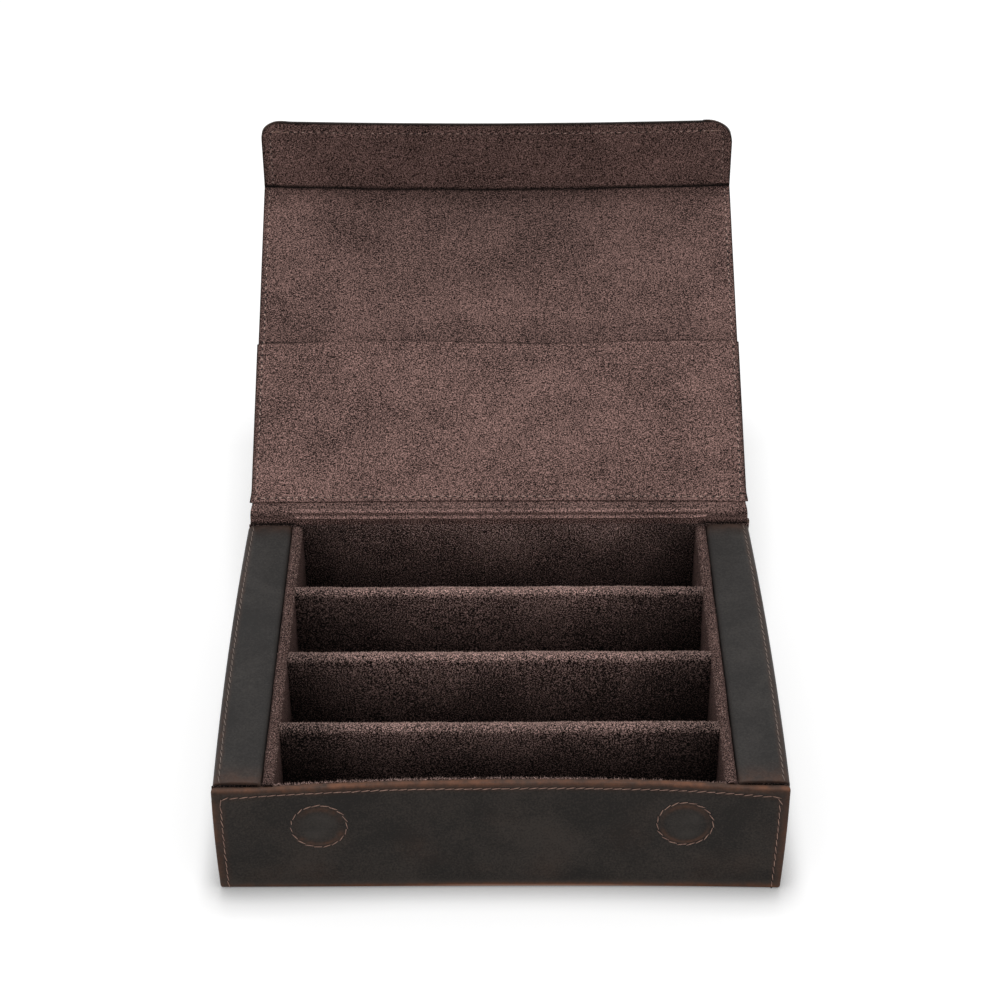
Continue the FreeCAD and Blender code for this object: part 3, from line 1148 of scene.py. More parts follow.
    def place(self, local: Array) -> Array:
        """Bends the flat strip round the box.

        Args:
            local: Across, along from the front lip, and depth below the outer face.

        Returns:
            The points in the frame.
        """
        x, along, depth = local.T
        outer = np.clip(1 - depth / self.leather, 0, 1)
        on_lip = bell(along - self.lip_drop, self.lip_reach)
        inwards = depth - self.lip_groove
        groove = self.lip_pinch.at(inwards) + self.lip_step * ease(inwards / self.lip_step_width)
        y, z = self.path.walk(along + on_lip * groove * MM, depth - outer * self.relief(x, along))
        front = along < self.front_length + self.crease_radius
        y = y + np.where(front, self.sag_at(x, z), 0)
        height = np.clip(z / self.rim_z, 0, 1)
        aside = x / self.half_width
        near = ease(1 - (y - self.front_y) / self.toe_reach)
        near = near * (self.toe_middle + (1 - self.toe_middle) * aside ** 2)
        toe = self.toe * (1 + self.toe_tilt * x / self.half_width)
        y = y - toe * near * (1 - height) ** 2
        edge = np.sign(x) * np.abs(aside) ** 8
        belly = self.barrel_foot + self.barrel_belly * height * (1 - height)
        swell = np.where(front, self.barrel * belly, 0)
        swell = swell + np.where(x < 0, -self.left_tuck, self.right_lean * (2 * height - 1))
        from_lip = along - self.lip_drop
        lift = self.corner_lift.at(from_lip) * bell(self.half_width - np.abs(x), self.corner_reach)
        lift = lift + self.right_rise.at(from_lip) * bell(x - self.right_rise_x, self.right_rise_reach)
        return np.stack([x + swell * edge, y, z + lift], axis=1)

    def build(self) -> Shell:
        """The strip as a closed skin with a recess for its boards.

        Returns:
            The skin in place, with wear marks.
        """
        edge = self.half_width - self.turn
        reach = self.ring_radius + self.ring_margin
        zone = (self.magnet.x - reach, self.magnet.x + reach)
        finer = tuple((side * zone[0], side * zone[1], self.ring_cell) for side in (-1, 1))
        finer += tuple((side * (edge - self.edge_zone), side * edge, self.edge_cell) for side in (-1, 1))
        across = Span(
            -self.half_width, self.half_width, self.cell, finer=finer,
            cuts_at=(-edge, -edge + RECESS_STEP, edge - RECESS_STEP, edge),
        )
        first, last = self.front_length, self.path.length - self.front_length
        arc = self.crease_radius * math.pi / 2
        lip = self.lip_drop + self.turn
        finer = (
            (self.lip_drop, first, self.front_cell),
            (first, first + arc, self.bend_cell),
            (last - arc, last, self.bend_cell),
        )
        along = Span(
            self.lip_drop, self.path.length, self.along_cell, round_high=False,
            cuts_at=(lip, lip + RECESS_STEP), finer=finer,
        )
        skin = Shell.slab(across, along, Span(0, self.thick, self.bend_cell), self.edge_radius)
        x, walked, depth = skin.points.T
        hollow = (np.abs(x) < edge - RECESS_STEP / 2) & (walked > lip + RECESS_STEP / 2)
        folds = (walked > first) & (walked < first + arc)
        folds |= (walked > last - arc) & (walked < last)
        depth = np.where(hollow, depth * self.leather / self.thick, depth)
        depth = np.where(folds, np.minimum(depth, self.crease_share * self.crease_radius), depth)
        flat = np.stack([x, walked, depth], axis=1)
        shell = Shell(flat, skin.faces, {"wear": self.wear(flat), "pull": self.pull(flat)})
        return shell.placed(self.place)

    def wear(self, flat: Array) -> Array:
        """How much each point of the strip is rubbed, and where a highlight is painted along the fold under
        the front.

        Args:
            flat: The points on the flat strip.

        Returns:
            From 0 for whole to 2 for raw hide and for the painted highlight.
        """
        x, along, depth = flat.T
        front = along < self.front_length
        lip = self.lip_rub.at(along - self.lip_drop) * (1 - self.groove_dark.at(depth - self.lip_groove))
        lip = lip * (self.lip_share + self.lip_patches.at(x, self.lip_squeeze * along))
        side = self.side_rub.at(self.half_width - np.abs(x))
        spread = self.low_left + (1 - self.low_left) * ease((x - self.low_start) / self.low_ramp)
        low = self.low_rub.at(along - (self.front_length - self.low_rise)) * spread
        # A painted highlight along the fold under the front, in the raw hide's colour, where light from the
        # floor falls.
        raw = self.raw_least + self.raw_spread.at(x - self.raw_x)
        raw = raw * bell(along - self.front_length - self.raw_drop, self.raw_width)
        height = self.above_ring(x, along) / self.disc_fade
        around, below, above = self.disc_rub
        crescent = around + below * ease(-height) + above * ease(height)
        inset = self.ring(x, along) - self.disc_radius + self.disc_rub_inset
        disc = np.where(front, crescent * bell(inset, self.disc_rub_width), 0)
        seam = np.where(front, self.seam_rub.at(self.seam_distance(x, along)), 0)
        haze = np.clip(self.haze.at(x, along), 0, None) * ease(along / self.front_length)
        most = np.maximum.reduce([lip, side, low, disc, seam, haze])
        rubbed = np.clip(most * self.patches.share(x, along), 0, 2)
        return rubbed + raw * (2 - rubbed)

    def pull(self, flat: Array) -> Array:
        """How far the leather is stretched: over the magnets, and round the fold under the front.

        Args:
            flat: The points on the flat strip.

        Returns:
            From 0 for slack to 1.
        """
        x, along, _ = flat.T
        inside = self.disc_radius - self.disc_pull_inset - self.ring(x, along)
        disc = self.disc_pull * ease(inside / self.disc_pull_fade) * (1 + self.pull_patches.at(x, along))
        fold = self.fold_pull.at(along - self.front_length + self.fold_pull_rise)
        return np.where(along < self.front_length, disc, 0) + fold

    def seams(self) -> list[StitchRow]:
        """The rows on the front panel: its sides and top, and a ring round each magnet.

        Returns:
            The rows.
        """
        low, top = self.front_length - self.seam_foot, self.lip_seam_drop
        side = self.half_width - self.seam_inset
        x, along = walked_line([(-side, low), (-side, top), (side, top), (side, low)], ROW_STEP)
        along = np.maximum(along, self.lip_seam(x))
        rows = [StitchRow.on(self.place, x, along, -self.stitch_lift, -1)]
        turn = np.linspace(0, math.tau, self.ring_points, endpoint=False)
        for sign in (-1, 1):
            x = self.ring_aside + sign * self.magnet.x + self.ring_radius * np.cos(turn)
            along = self.above_ring(x, self.ring_height * self.ring_radius * np.sin(turn))
            rows.append(StitchRow.on(self.place, x, along, -self.stitch_lift, -1, closed=True))
        return rows

    def dress(self) -> None:
        """Makes the piece."""
        piece = self.build().to_object("base_leather_skin")
        dress(piece, self.finishes.leather, Slot.LEATHER, ["base_leather"], Body.CASE)


def walked_line(corners: Sequence[Pair], step: float) -> tuple[Array, Array]:
    """Points along straight runs between corners.

    Args:
        corners: The corners in order.
        step: The distance between points.

    Returns:
        The two coordinates of each point.
    """
    first, second = [], []
    for (a, b), (c, d) in zip(corners, corners[1:]):
        count = max(2, round(math.hypot(c - a, d - b) / step))
        share = np.linspace(0, 1, count, endpoint=False)
        first.append(a + (c - a) * share)
        second.append(b + (d - b) * share)
    first.append(np.array([corners[-1][0]]))
    second.append(np.array([corners[-1][1]]))
    return np.concatenate(first), np.concatenate(second)


@dataclass
class SideWall:
    """A wide side wall: leather over its outside, top and inside."""

    finishes: Finishes
    side: Side
    leather: float = 1.5 * MM
    corner_radius: float = 2.2 * MM
    inner_radius: float = 1.6 * MM
    edge_radius: float = 0.5 * MM
    bow: float = 1.2 * MM
    bow_foot: float = 0.4
    left_stand: Pair = (-0.3 * MM, 0.35 * MM)
    right_stand: Pair = (0.85 * MM, -0.2 * MM)
    crown: float = 0.4 * MM
    top_from: float = 0.85
    top_share: float = 0.15
    top_wave: Pair = (0.06 * MM, 45 * MM)
    top_seed: int = 11
    seam_inset: float = 2.3 * MM
    seam_end: float = 2 * MM
    seam_groove: Mark = Mark(0.25 * MM, 0.9 * MM)
    stitch_lift: float = 0.05 * MM
    edge_rub: Mark = Mark(0.2, 1.2 * MM)
    edge_rub_inset: float = 2.7 * MM
    front_rub: Mark = Mark(0.36, 6 * MM)
    back_rub: Mark = Mark(0.25, 5 * MM)
    seam_rub: Mark = Mark(0.2, 0.9 * MM)
    patches: Wave = Wave(0.3, 28 * MM, 17)
    cell: float = 5 * MM
    edge_zone: float = 4 * MM
    edge_cell: float = 0.6 * MM
    along_cell: float = 2 * MM
    low: Vector = field(init=False)
    high: Vector = field(init=False)
    path: BentPath = field(init=False)

    def __post_init__(self) -> None:
        """Reads the wall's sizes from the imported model."""
        self.low, self.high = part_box(self.node)
        inner, outer = sorted((abs(self.low.x), abs(self.high.x)))
        corners = [(outer, self.low.z), (outer, self.high.z), (inner, self.high.z), (inner, self.low.z)]
        self.path = BentPath(corners, [self.corner_radius, self.inner_radius])

    @property
    def node(self) -> str:
        """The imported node's name."""
        return self.side.name.lower() + "_side_leather"

    @property
    def tall(self) -> float:
        """The wall's height."""
        return self.high.z - self.low.z

    @property
    def seam_over(self) -> float:
        """Where the seam lies along the path over the wall."""
        arc = self.corner_radius * math.pi / 2
        return self.tall + self.seam_inset - 2 * self.corner_radius + arc

    def place(self, local: Array) -> Array:
        """Bends the flat cover over the wall.

        Args:
            local: Along the path over the wall, from front to back, and depth below the outer face.

        Returns:
            The points in the frame.
        """
        over, y, depth = local.T
        x, z = self.path.walk(over, depth)
        inner, outer = sorted((abs(self.low.x), abs(self.high.x)))
        outwards = ease((x - inner) / (outer - inner))
        height = (z - self.low.z) / self.tall
        run = (y - self.low.y) / (self.high.y - self.low.y)
        front, back = self.left_stand if self.side is Side.LEFT else self.right_stand
        bowed = self.bow * 4 * run * (1 - run) * (self.bow_foot + (1 - self.bow_foot) * height)
        x = x + outwards * (front + (back - front) * run + bowed)
        middle = (inner + outer) / 2
        on_top = ease((height - self.top_from) / self.top_share)
        z = z - on_top * (self.crown * ((x - middle) / (outer - middle)) ** 2)
        z = z + on_top * Wave(*self.top_wave, self.top_seed + self.side.value).at(x, y)
        seam = self.seam_groove.at(over - self.seam_over)
        z = z - on_top * seam * np.clip(1 - depth / self.leather, 0, 1)
        return np.stack([x * self.side.value, y, z], axis=1)

    def build(self) -> Shell:
        """The cover in place, with wear marks.

        Returns:
            The closed skin.
        """
        top = (self.tall - self.edge_zone, self.path.length - self.tall + self.edge_zone, self.edge_cell)
        over = Span(0, self.path.length, self.cell, finer=(top,))
        along = Span(self.low.y, self.high.y, self.along_cell)
        skin = Shell.slab(over, along, Span(0, self.leather, self.leather), self.edge_radius)
        skin.marks["wear"] = self.wear(skin.points)
        return skin.placed(self.place)

    def wear(self, flat: Array) -> Array:
        """How much each point of the cover is rubbed.

        Args:
            flat: The points on the flat cover.

        Returns:
            A share from 0 to 1.
        """
        over, y, _ = flat.T
        outer_corner = self.tall - self.corner_radius
        edge = self.edge_rub.at(over - outer_corner - self.edge_rub_inset)
        front = self.front_rub.at(y - self.low.y)
        back = self.back_rub.at(self.high.y - y)
        seam = self.seam_rub.at(over - self.seam_over)
        most = np.maximum.reduce([edge, front, back, seam])
        return np.clip(most * self.patches.share(over, y), 0, 1)

    def seams(self) -> list[StitchRow]:
        """The row along the outer edge of the wall's top."""
        y = np.linspace(self.low.y + self.seam_end, self.high.y - self.seam_end, ROW_POINTS)
        return [StitchRow.on(self.place, np.full_like(y, self.seam_over), y, -self.stitch_lift, -1)]

    def dress(self) -> None:
        """Makes the piece."""
        piece = self.build().to_object(self.node + "_skin")
        dress(piece, self.finishes.wall_leather, Slot.LEATHER, [self.node], Body.CASE)


@dataclass
class Tray:
    """The suede inside: floor, front and back linings, two walls and the dividers."""

    finishes: Finishes
    base: BasePanel
    suede: float = 0.8 * MM
    edge_radius: float = 0.35 * MM
    cell: float = 1.3 * MM
    wide_cell: float = 2.08 * MM
    floor_cell: float = 2.6 * MM
    side_cell: float = 2.2 * MM
    top_zone: float = 7 * MM
    top_cell: float = 0.55 * MM
    rough: float = 0.09 * MM
    wave: Pair = (0.2 * MM, 38 * MM)
    side_wave: Pair = (0.12 * MM, 46 * MM)
    side_seed: int = 50
    top_round: float = 0.46
    top_rise: float = 0.15 * MM
    lean: float = 0.6 * MM
    end_rise: float = 0.3 * MM
    end_rise_from: float = 8 * MM
    end_rise_ramp: float = 6 * MM
    front_divider: str = "divider_1"
    laid_range: Pair = (0.04, 1.0)
    divider_laid: Pair = (0.0, 0.95)
    wall_laid: Pair = (0.68, 0.35)
    front_laid: Pair = (0.18, 0.46)
    floor_laid: float = 0.7
    edge_laid: float = 0.14
    edge_ramp: float = 1.2 * MM
    lining_power: float = 1.35
    end_shadow: Mark = Mark(0.6, 26 * MM)
    crest: float = 2.2 * MM
    open_ramp: float = 1.5 * MM
    nap_reach: float = 4.1 * MM
    nap_ramp: float = 2.0 * MM
    nap_depth: float = 0.3
    wall_nap: float = 0.2
    fringe: Nap = field(default_factory=lambda: Nap(density=5.0e6, length=1.0 * MM, root=0.075 * MM))
    fringe_rise: float = -0.7 * MM
    fringe_reach: float = 1.4 * MM
    fringe_ramp: float = 0.8 * MM
    front_thinner: float = 0.1 * MM
    strip_rise: float = 1.4 * MM
    strip_rise_zone: float = 5 * MM
    strip_ramp: float = 4 * MM
    strip_laid: Pair = (0.9, 0.4)
    nap_pieces: list[Shell] = field(init=False, default_factory=list)

    def sleeve(self, node: str, seed: int) -> None:
        """A suede sleeve folded over the top of a card.

        Args:
            node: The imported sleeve.
            seed: Chooses its unevenness.
        """
        low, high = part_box(node)
        size = high - low
        divider = size.x > size.y
        width = size.y if divider else size.x
        middle = (low.y + high.y) / 2 if divider else (low.x + high.x) / 2
        radius = self.top_round * width
        top_z = high.z + self.top_rise
        corners = [(width / 2, low.z), (width / 2, top_z), (-width / 2, top_z), (-width / 2, low.z)]
        path = BentPath(corners, [radius, radius])
        ends = (low.x, high.x) if divider else (low.y, high.y)
        top = path.length / 2

        def place(local: Array) -> Array:
            """Bends the flat suede over the card."""
            over, run, depth = local.T
            across, z = path.walk(over, depth)
            height = ease((z - low.z) / size.z)
            z = z + height * Wave(*self.wave, seed).along(run)
            across = across + height * Wave(*self.side_wave, seed + self.side_seed).at(run, z)
            if divider:
                across = across + self.lean * height * ease(across / width + 0.5)
                return np.stack([run, middle + across, z], axis=1)
            past = run - ends[1] + self.end_rise_from
            z = z + self.end_rise * height**4 * ease(past / self.end_rise_ramp)
            return np.stack([middle + across, run, z], axis=1)

        finer = ((top - self.top_zone, top + self.top_zone, self.top_cell),)
        over = Span(0, path.length, self.side_cell, finer=finer)
        along = Span(ends[0], ends[1], self.cell)
        skin = Shell.slab(over, along, Span(0, self.suede, self.suede), self.edge_radius)
        walked, run, depth = skin.points.T
        draw = np.random.default_rng(seed)
        rough = self.rough * draw.normal(size=len(depth)) * (depth < self.suede / 2)
        skin.points[:, 2] -= rough
        from_top = np.abs(walked - top)
        nap = (depth < self.suede * self.nap_depth) * ease((self.nap_reach - from_top) / self.nap_ramp)
        # Painted shade: darker down the faces from just below the crest, darker towards a trough's ends, and
        # on the dividers a little darker just below the lit top; fewer bright nap fibres stand where the ends
        # are painted dark.
        past = from_top - self.crest
        least, power = self.divider_laid if divider else self.wall_laid
        if node.startswith(self.front_divider):
            least, power = self.front_laid
        deep = np.maximum(least, self.laid(past / size.z, power))
        if divider:
            shaded = self.end_shade(run, ends)
            deep = np.maximum(deep, self.edge_laid * ease(past / self.edge_ramp))
            skin.marks["nap"] = nap * (1 - shaded)
            skin.marks["laid"] = 1 - (1 - deep) * (1 - shaded)
        else:
            open_side = self.crest + math.copysign(1, middle) * (walked - top)
            skin.marks["nap"] = nap * ease(open_side / self.open_ramp) * self.wall_nap
            skin.marks["laid"] = deep
        shell = skin.placed(place)
        self.nap_pieces.append(shell)
        piece = shell.to_object(node + "_sleeve")
        finish = self.finishes.tray if divider else self.finishes.edging
        dress(piece, finish, Slot.SUEDE, [node], Body.CASE)

    def end_shade(self, run: Array, ends: Pair) -> Array:
        """Painted shade towards the two ends of a trough, where the walls shade it."""
        return self.end_shadow.at(np.minimum(run - ends[0], ends[1] - run))

    def laid(self, share: Array, power: float) -> Array:
        """Painted shade by the share of the depth down a face; a power under 1 darkens it sooner."""
        low, high = self.laid_range
        return np.where(share <= 0, 0, low + (high - low) * np.clip(share, 0, 1) ** power)

    def lining(self, node: str, board: str, upright: bool) -> None:
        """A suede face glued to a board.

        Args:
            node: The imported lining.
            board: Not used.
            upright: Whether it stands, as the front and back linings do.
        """
        low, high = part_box(node)
        size = high - low
        front = node == "front_lining"
        face = self.base.front_y + self.base.back_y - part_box("back_lining")[0].y if front else high.y
        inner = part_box("right_side_leather")[0].x

        def between(x: Array) -> Array:
            """1 between the side walls and 0 under them."""
            return ease((inner - np.abs(x)) / self.strip_ramp)

        def place(local: Array) -> Array:
            """Puts the flat suede against its board."""
            x, run, depth = local.T
            if not upright:
                fade = (high.y - run) / size.y
                sag = self.base.sag_at(x, np.full_like(x, high.z)) * fade
                return np.stack([x, run + sag, high.z - depth], axis=1)
            if front:
                near_top = ease((run - high.z + self.strip_rise_zone) / self.strip_rise_zone)
                z = run + self.strip_rise * (1 - between(x)) * near_top
                return np.stack([x, face - depth + self.base.sag_at(x, run), z], axis=1)
            return np.stack([x, low.y + depth, run], axis=1)

        top = high.z + (self.fringe_rise if front else 0)
        along = Span(low.z, top, self.cell) if upright else Span(low.y, high.y, self.floor_cell)
        across = Span(low.x, high.x, self.wide_cell)
        thick = size.z if not upright else self.suede - (self.front_thinner if front else 0)
        skin = Shell.slab(across, along, Span(0, thick, thick), self.edge_radius)
        x, run, depth = skin.points.T
        draw = np.random.default_rng(len(node))
        skin.points[:, 2] -= self.rough * draw.normal(size=len(depth)) * (depth < thick / 2)
        # Painted shade: the floor is dark all over, the upright linings darken downwards and towards the side
        # walls, and the front lining is darker still under the side walls' strips.
        deep = np.full(len(run), self.floor_laid)
        if upright:
            deep = self.laid((high.z - run) / size.z, self.lining_power)
        skin.marks["laid"] = 1 - (1 - deep) * (1 - self.end_shade(x, (-inner, inner)))
        if front:
            skin.marks["nap"] = ease((run - top + self.fringe_reach) / self.fringe_ramp) * between(x)
            most, less = self.strip_laid
            skin.marks["laid"] = np.maximum(skin.marks["laid"], most - less * between(x))
        shell = skin.placed(place)
        if front:
            fibres = self.fringe.grow("lip_fringe", [shell], self.finishes.nap)
            dress(fibres, self.finishes.nap, Slot.SUEDE, body=Body.CASE)
        piece = shell.to_object(node + "_suede")
        dress(piece, self.finishes.tray, Slot.SUEDE, [node], Body.CASE)

    def dress(self, nap: Nap) -> None:
        """Makes all pieces of the tray and the nap on their edges.

        Args:
            nap: The fibre maker.
        """
        self.lining("floor_lining", "bottom_board", upright=False)
        self.lining("front_lining", "front_board", upright=True)
        self.lining("back_lining", "back_board", upright=True)
        names = ["left_tray_wall", "right_tray_wall", "divider_1", "divider_2", "divider_3"]
        for seed, name in enumerate(names, start=31):
            self.sleeve(name + "_suede", seed)
        fibres = nap.grow("tray_nap", self.nap_pieces, self.finishes.nap)
        dress(fibres, self.finishes.nap, Slot.SUEDE, body=Body.CASE)


@dataclass
class Lid:
    """The lid, the flap beyond its fold, and the two bending strips at the hinge and the fold."""

    finishes: Finishes
    base: BasePanel
    leather: float = 1.5 * MM
    suede: float = 0.8 * MM
    edge_radius: float = 0.45 * MM
    suede_radius: float = 0.35 * MM
    pocket_radius: float = 0.25 * MM
    hinge_half: float = 103.5 * MM
    strip_half: float = 104.2 * MM
    fold_half: float = 105.5 * MM
    tip_half: float = 104.95 * MM
    bow: float = 2.2 * MM
    drift: float = -0.4 * MM
    past_end: float = 1.05
    corner_radius: float = 8.6 * MM
    right_corner: float = 11.5 * MM
    corner_from: float = 0.85
    corner_share: float = 0.15
    skive_length: float = 9.0 * MM
    skive_share: float = 0.72
    hide_wave: Wave = Wave(0.12 * MM, 48 * MM, 23)
    hide_rub: Mark = Mark(0.25, 1.5 * MM)
    hide_patches: Wave = Wave(0.3, 30 * MM, 29)
    lining_wave: Wave = Wave(0.16 * MM, 34 * MM, 41)
    lining_ramp: float = 8 * MM
    border: float = 0.8 * MM
    border_dark: float = 0.9
    tip_dark: float = 0.95
    flap_shade: float = 0.05
    lid_shade: Pair = (0.12, 0.22)
    shade_from: float = 0.5
    shade_ramp: float = 0.4
    shade_aside: float = 0.9
    mouth_shade: Mark = Mark(0.7, 14 * MM)
    mouth_line: float = 0.5
    mouth_patches: Wave = Wave(0.3, 34 * MM, 44)
    mouth_past: float = 1.0 * MM
    mouth_width: float = 0.8 * MM
    mouth_zone: Pair = (2 * MM, 3 * MM)
    pocket_over: float = 0.45 * MM
    pocket_wave: Wave = Wave(0.8 * MM, 90 * MM, 4)
    pocket_pucker: Wave = Wave(0.1 * MM, 40 * MM, 43)
    pocket_gape: float = 0.3 * MM
    pocket_flare: Mark = Mark(0.6 * MM, 3 * MM)
    pocket_lift: Pair = (0.3 * MM, 0.6 * MM)
    pocket_shade: Mark = Mark(0.06, 1.5 * MM)
    strip_rub: Mark = Mark(0.6, 1.5 * MM)
    strip_round: float = 0.4
    strip_bulge: float = 0.35 * MM
    hinge_ends: Pair = (0.4 * MM, 0.2 * MM)
    hinge_radius: float = 2.0 * MM
    ridge_places: Pair = (0.418, 0.605)
    ridge_lift: Pair = (1.2 * MM, 0.65 * MM)
    ridge_width: float = 0.55 * MM
    ridge_above: float = 0.4 * MM
    ridge_inset: float = 14 * MM
    ridge_ramp: float = 8 * MM
    pale_width: float = 0.65 * MM
    pale_inset: float = 12 * MM
    hinge_crease: Mark = Mark(0.42, 0.3 * MM)
    hinge_valley: Mark = Mark(0.56, 0.8 * MM)
    valley_past: float = 1.5 * MM
    wall_shadow: Mark = Mark(0.95, 1.6 * MM)
    wall_inset: float = 21 * MM
    wall_ramp: float = 3 * MM
    hinge_shade: Pair = (0.41, 0.34)
    hinge_ramp: float = 0.8 * MM
    coarse_before: float = 0.9 * MM
    coarse_ramp: float = 1.8 * MM
    fold_radii: Pair = (2.6 * MM, 0.95 * MM)
    fold_crease: Mark = Mark(1.0, 1.7 * MM)
    fold_wander: Wave = Wave(0.3 * MM, 50 * MM, 61)
    fold_jitter: Wave = Wave(0.15 * MM, 7 * MM, 62)
    fold_climb: float = 0.9 * MM
    seam_inset: float = 2.4 * MM
    seam_start: float = 1.9 * MM
    seam_end: float = 1 * MM
    tip_seam: float = 4.6 * MM
    flap_side_seam: float = 4.0 * MM
    side_points: int = 120
    stitch_lift: float = 0.05 * MM
    tip_sink: float = 0.02 * MM
    tack_lift: float = 0.08 * MM
    tack_length: float = 5.0 * MM
    tack_inset: float = 2 * MM
    tack_points: int = 12
    hide_cells: Pair = (3 * MM, 2.5 * MM)
    lining_cells: Pair = (2 * MM, 1.8 * MM)
    pocket_cells: Pair = (1.8 * MM, 1.6 * MM)
    strip_cells: Pair = (1.8 * MM, 0.2 * MM)
    edge_zone: float = 7 * MM
    side_cell: float = 0.9 * MM
    tip_cell: float = 0.6 * MM
    mouth_cell: float = 0.25 * MM
    pocket_zone: float = 4 * MM
    pocket_end_cell: float = 0.4 * MM
    core_cell: float = 6 * MM
    weld: float = 0.001 * MM
    plane: Plane = field(init=False)
    flap_plane: Plane = field(init=False)
    half_width: float = field(init=False)
    lid_end: float = field(init=False)
    flap_end: float = field(init=False)

    def __post_init__(self) -> None:
        """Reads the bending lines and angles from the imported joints."""
        joints = {j["name"]: j for j in frame["joints"]}
        hinge, fold = joints["lid_hinge"], joints["flap_fold"]
        tilt = math.radians(180 - hinge["range_deg"][1])
        turn = math.radians(-fold["range_deg"][0])
        self.plane = Plane(hinge["pos_m"][1], hinge["pos_m"][2], tilt)
        self.flap_plane = Plane(fold["pos_m"][1], fold["pos_m"][2], tilt + turn)
        self.half_width, self.lid_end, _ = self.plane.box("lid_leather")[1]
        self.flap_end = self.flap_plane.box("flap_leather")[1][1]

    def lid_shape(self, local: Array) -> Array:
        """Widens and bows the flat lid, and puts it in the frame.

        Args:
            local: Across, along from the hinge line, and up to the lining.

        Returns:
            The points in the frame.
        """
        x, along, up = local.T
        share = np.clip(along / self.lid_end, 0, self.past_end)
        wide = (self.hinge_half + (self.fold_half - self.hinge_half) * share) / self.half_width
        sunk = self.bow * share**2 * (1 - (x / self.half_width) ** 2)
        return self.plane.out(np.stack([x * wide + self.drift * share, along, up - sunk], axis=1))

    def tip_shape(self, local: Array) -> Array:
        """Rounds and bows the flat flap, and puts it in the frame.

        Args:
            local: Across, along from the fold line, and up to the lining.

        Returns:
            The points in the frame.
        """
        x, along, up = local.T
        radius = np.where(x > 0, self.right_corner, self.corner_radius)
        past = np.clip(along - (self.flap_end - radius), 0, radius)
        rounding = radius - np.sqrt(np.maximum(radius**2 - past**2, 0))
        side = np.abs(x) / self.half_width
        pulled = rounding * ease((side - self.corner_from) / self.corner_share) * side
        skived = ease((along - self.flap_end + self.skive_length) / self.skive_length)
        face = self.flap_plane.box("flap_lining")[0][2]
        up = np.where(up < face, face + (up - face) * (1 - self.skive_share * skived), up)
        share = np.clip(along / self.flap_end, 0, 1)
        wide = (self.fold_half + (self.tip_half - self.fold_half) * share) / self.half_width
        across = x * wide - np.sign(x) * pulled + self.drift
        return self.flap_plane.out(np.stack([across, along, up], axis=1)) + self.sunk(x)

    def sunk(self, x: Array) -> Array:
        """The move of the fold and the flap that goes with the lid's bow."""
        depth = self.bow * (1 - (x / self.half_width) ** 2)
        normal = np.array([0, -math.sin(self.plane.angle), math.cos(self.plane.angle)])
        return -depth[:, None] * normal

    def finer(self, node: str, high: Array) -> tuple[Stretches, Stretches]:
        """Where a panel's grid is finer.

        Args:
            node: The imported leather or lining.
            high: Its highest corner.

        Returns:
            The stretches across, at its sides, and along, at the flap's tip.
        """
        wide, end, zone = high[0], high[1], self.edge_zone
        sides = tuple((side * (wide - zone), side * wide, self.side_cell) for side in (-1, 1))
        return sides, ((end - zone, end, self.tip_cell),) if node.startswith("flap") else ()

    def hide(self, node: str, plane: Plane, place: Place, board: str) -> None:
        """A leather panel with a recess for its board.

        Args:
            node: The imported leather.
            plane: The panel's axes.
            place: The panel's shaping.
            board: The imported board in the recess.
        """
        low, high = plane.box(node)
        board_low, board_high = plane.box(board)
        step = RECESS_STEP
        borders = [(board_low[i], board_low[i] + step, board_high[i] - step, board_high[i]) for i in (0, 1)]
        sides, tip = self.finer(node, high)
        across = Span(low[0], high[0], self.hide_cells[0], finer=sides, cuts_at=borders[0])
        along = Span(
            low[1], high[1], self.hide_cells[1], finer=tip, cuts_at=borders[1], **self.open_ends(node)
        )
        skin = Shell.slab(across, along, Span(low[2], high[2], high[2] - low[2]), self.edge_radius)
        x, run, up = skin.points.T
        inside = (x > board_low[0] + step / 2) & (x < board_high[0] - step / 2)
        inside &= (run > board_low[1] + step / 2) & (run < board_high[1] - step / 2)
        up = np.where(inside & (up > board_low[2]), board_low[2], up)
        up = up - self.hide_wave.at(x, run) * (up < board_low[2])
        rubbed = self.hide_rub.at(high[0] - np.abs(x)) * self.hide_patches.share(x, run)
        shell = Shell(np.stack([x, run, up], axis=1), skin.faces, {"wear": np.clip(rubbed, 0, 1)})
        piece = shell.placed(place).to_object(node + "_skin")
        dress(piece, self.finishes.leather, Slot.LEATHER, [node], self.body_of(node))

    @staticmethod
    def open_ends(node: str) -> dict[str, bool]:
        """Which ends of a panel run on into a bending strip, and so keep a square edge."""
        return {"round_low": False, "round_high": node.startswith("flap")}

    @staticmethod
    def body_of(node: str) -> Body:
        """The body of a panel's node."""
        return Body.FLAP if node.startswith("flap") else Body.LID

    def core(self, node: str, plane: Plane, place: Place) -> None:
        """A board or a magnet inside a panel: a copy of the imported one, bowed as the panel is.

        Args:
            node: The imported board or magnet.
            plane: The panel's axes.
            place: The panel's shaping.
        """
        solid = bmesh.new()
        solid.from_mesh(frame["nodes"][node].data)
        bmesh.ops.remove_doubles(solid, verts=solid.verts, dist=self.weld)
        for x in np.arange(-self.half_width, self.half_width, self.core_cell):
            everything = solid.verts[:] + solid.edges[:] + solid.faces[:]
            bmesh.ops.bisect_plane(solid, geom=everything, plane_co=(x, 0, 0), plane_no=(1, 0, 0))
        bmesh.ops.triangulate(solid, faces=solid.faces[:])
        flat = plane.into(np.array([v.co for v in solid.verts], float))
        for vertex, point in zip(solid.verts, place(flat)):
            vertex.co = point
        mesh = bpy.data.meshes.new(node + "_bowed")
        solid.to_mesh(mesh)
        solid.free()
        finish, slot = self.finishes.nickel, Slot.MAGNET
        if node.endswith("_board"):
            finish, slot = self.finishes.board, Slot.BOARD
        dress(shown(node + "_bowed", mesh), finish, slot, [node], self.body_of(node))

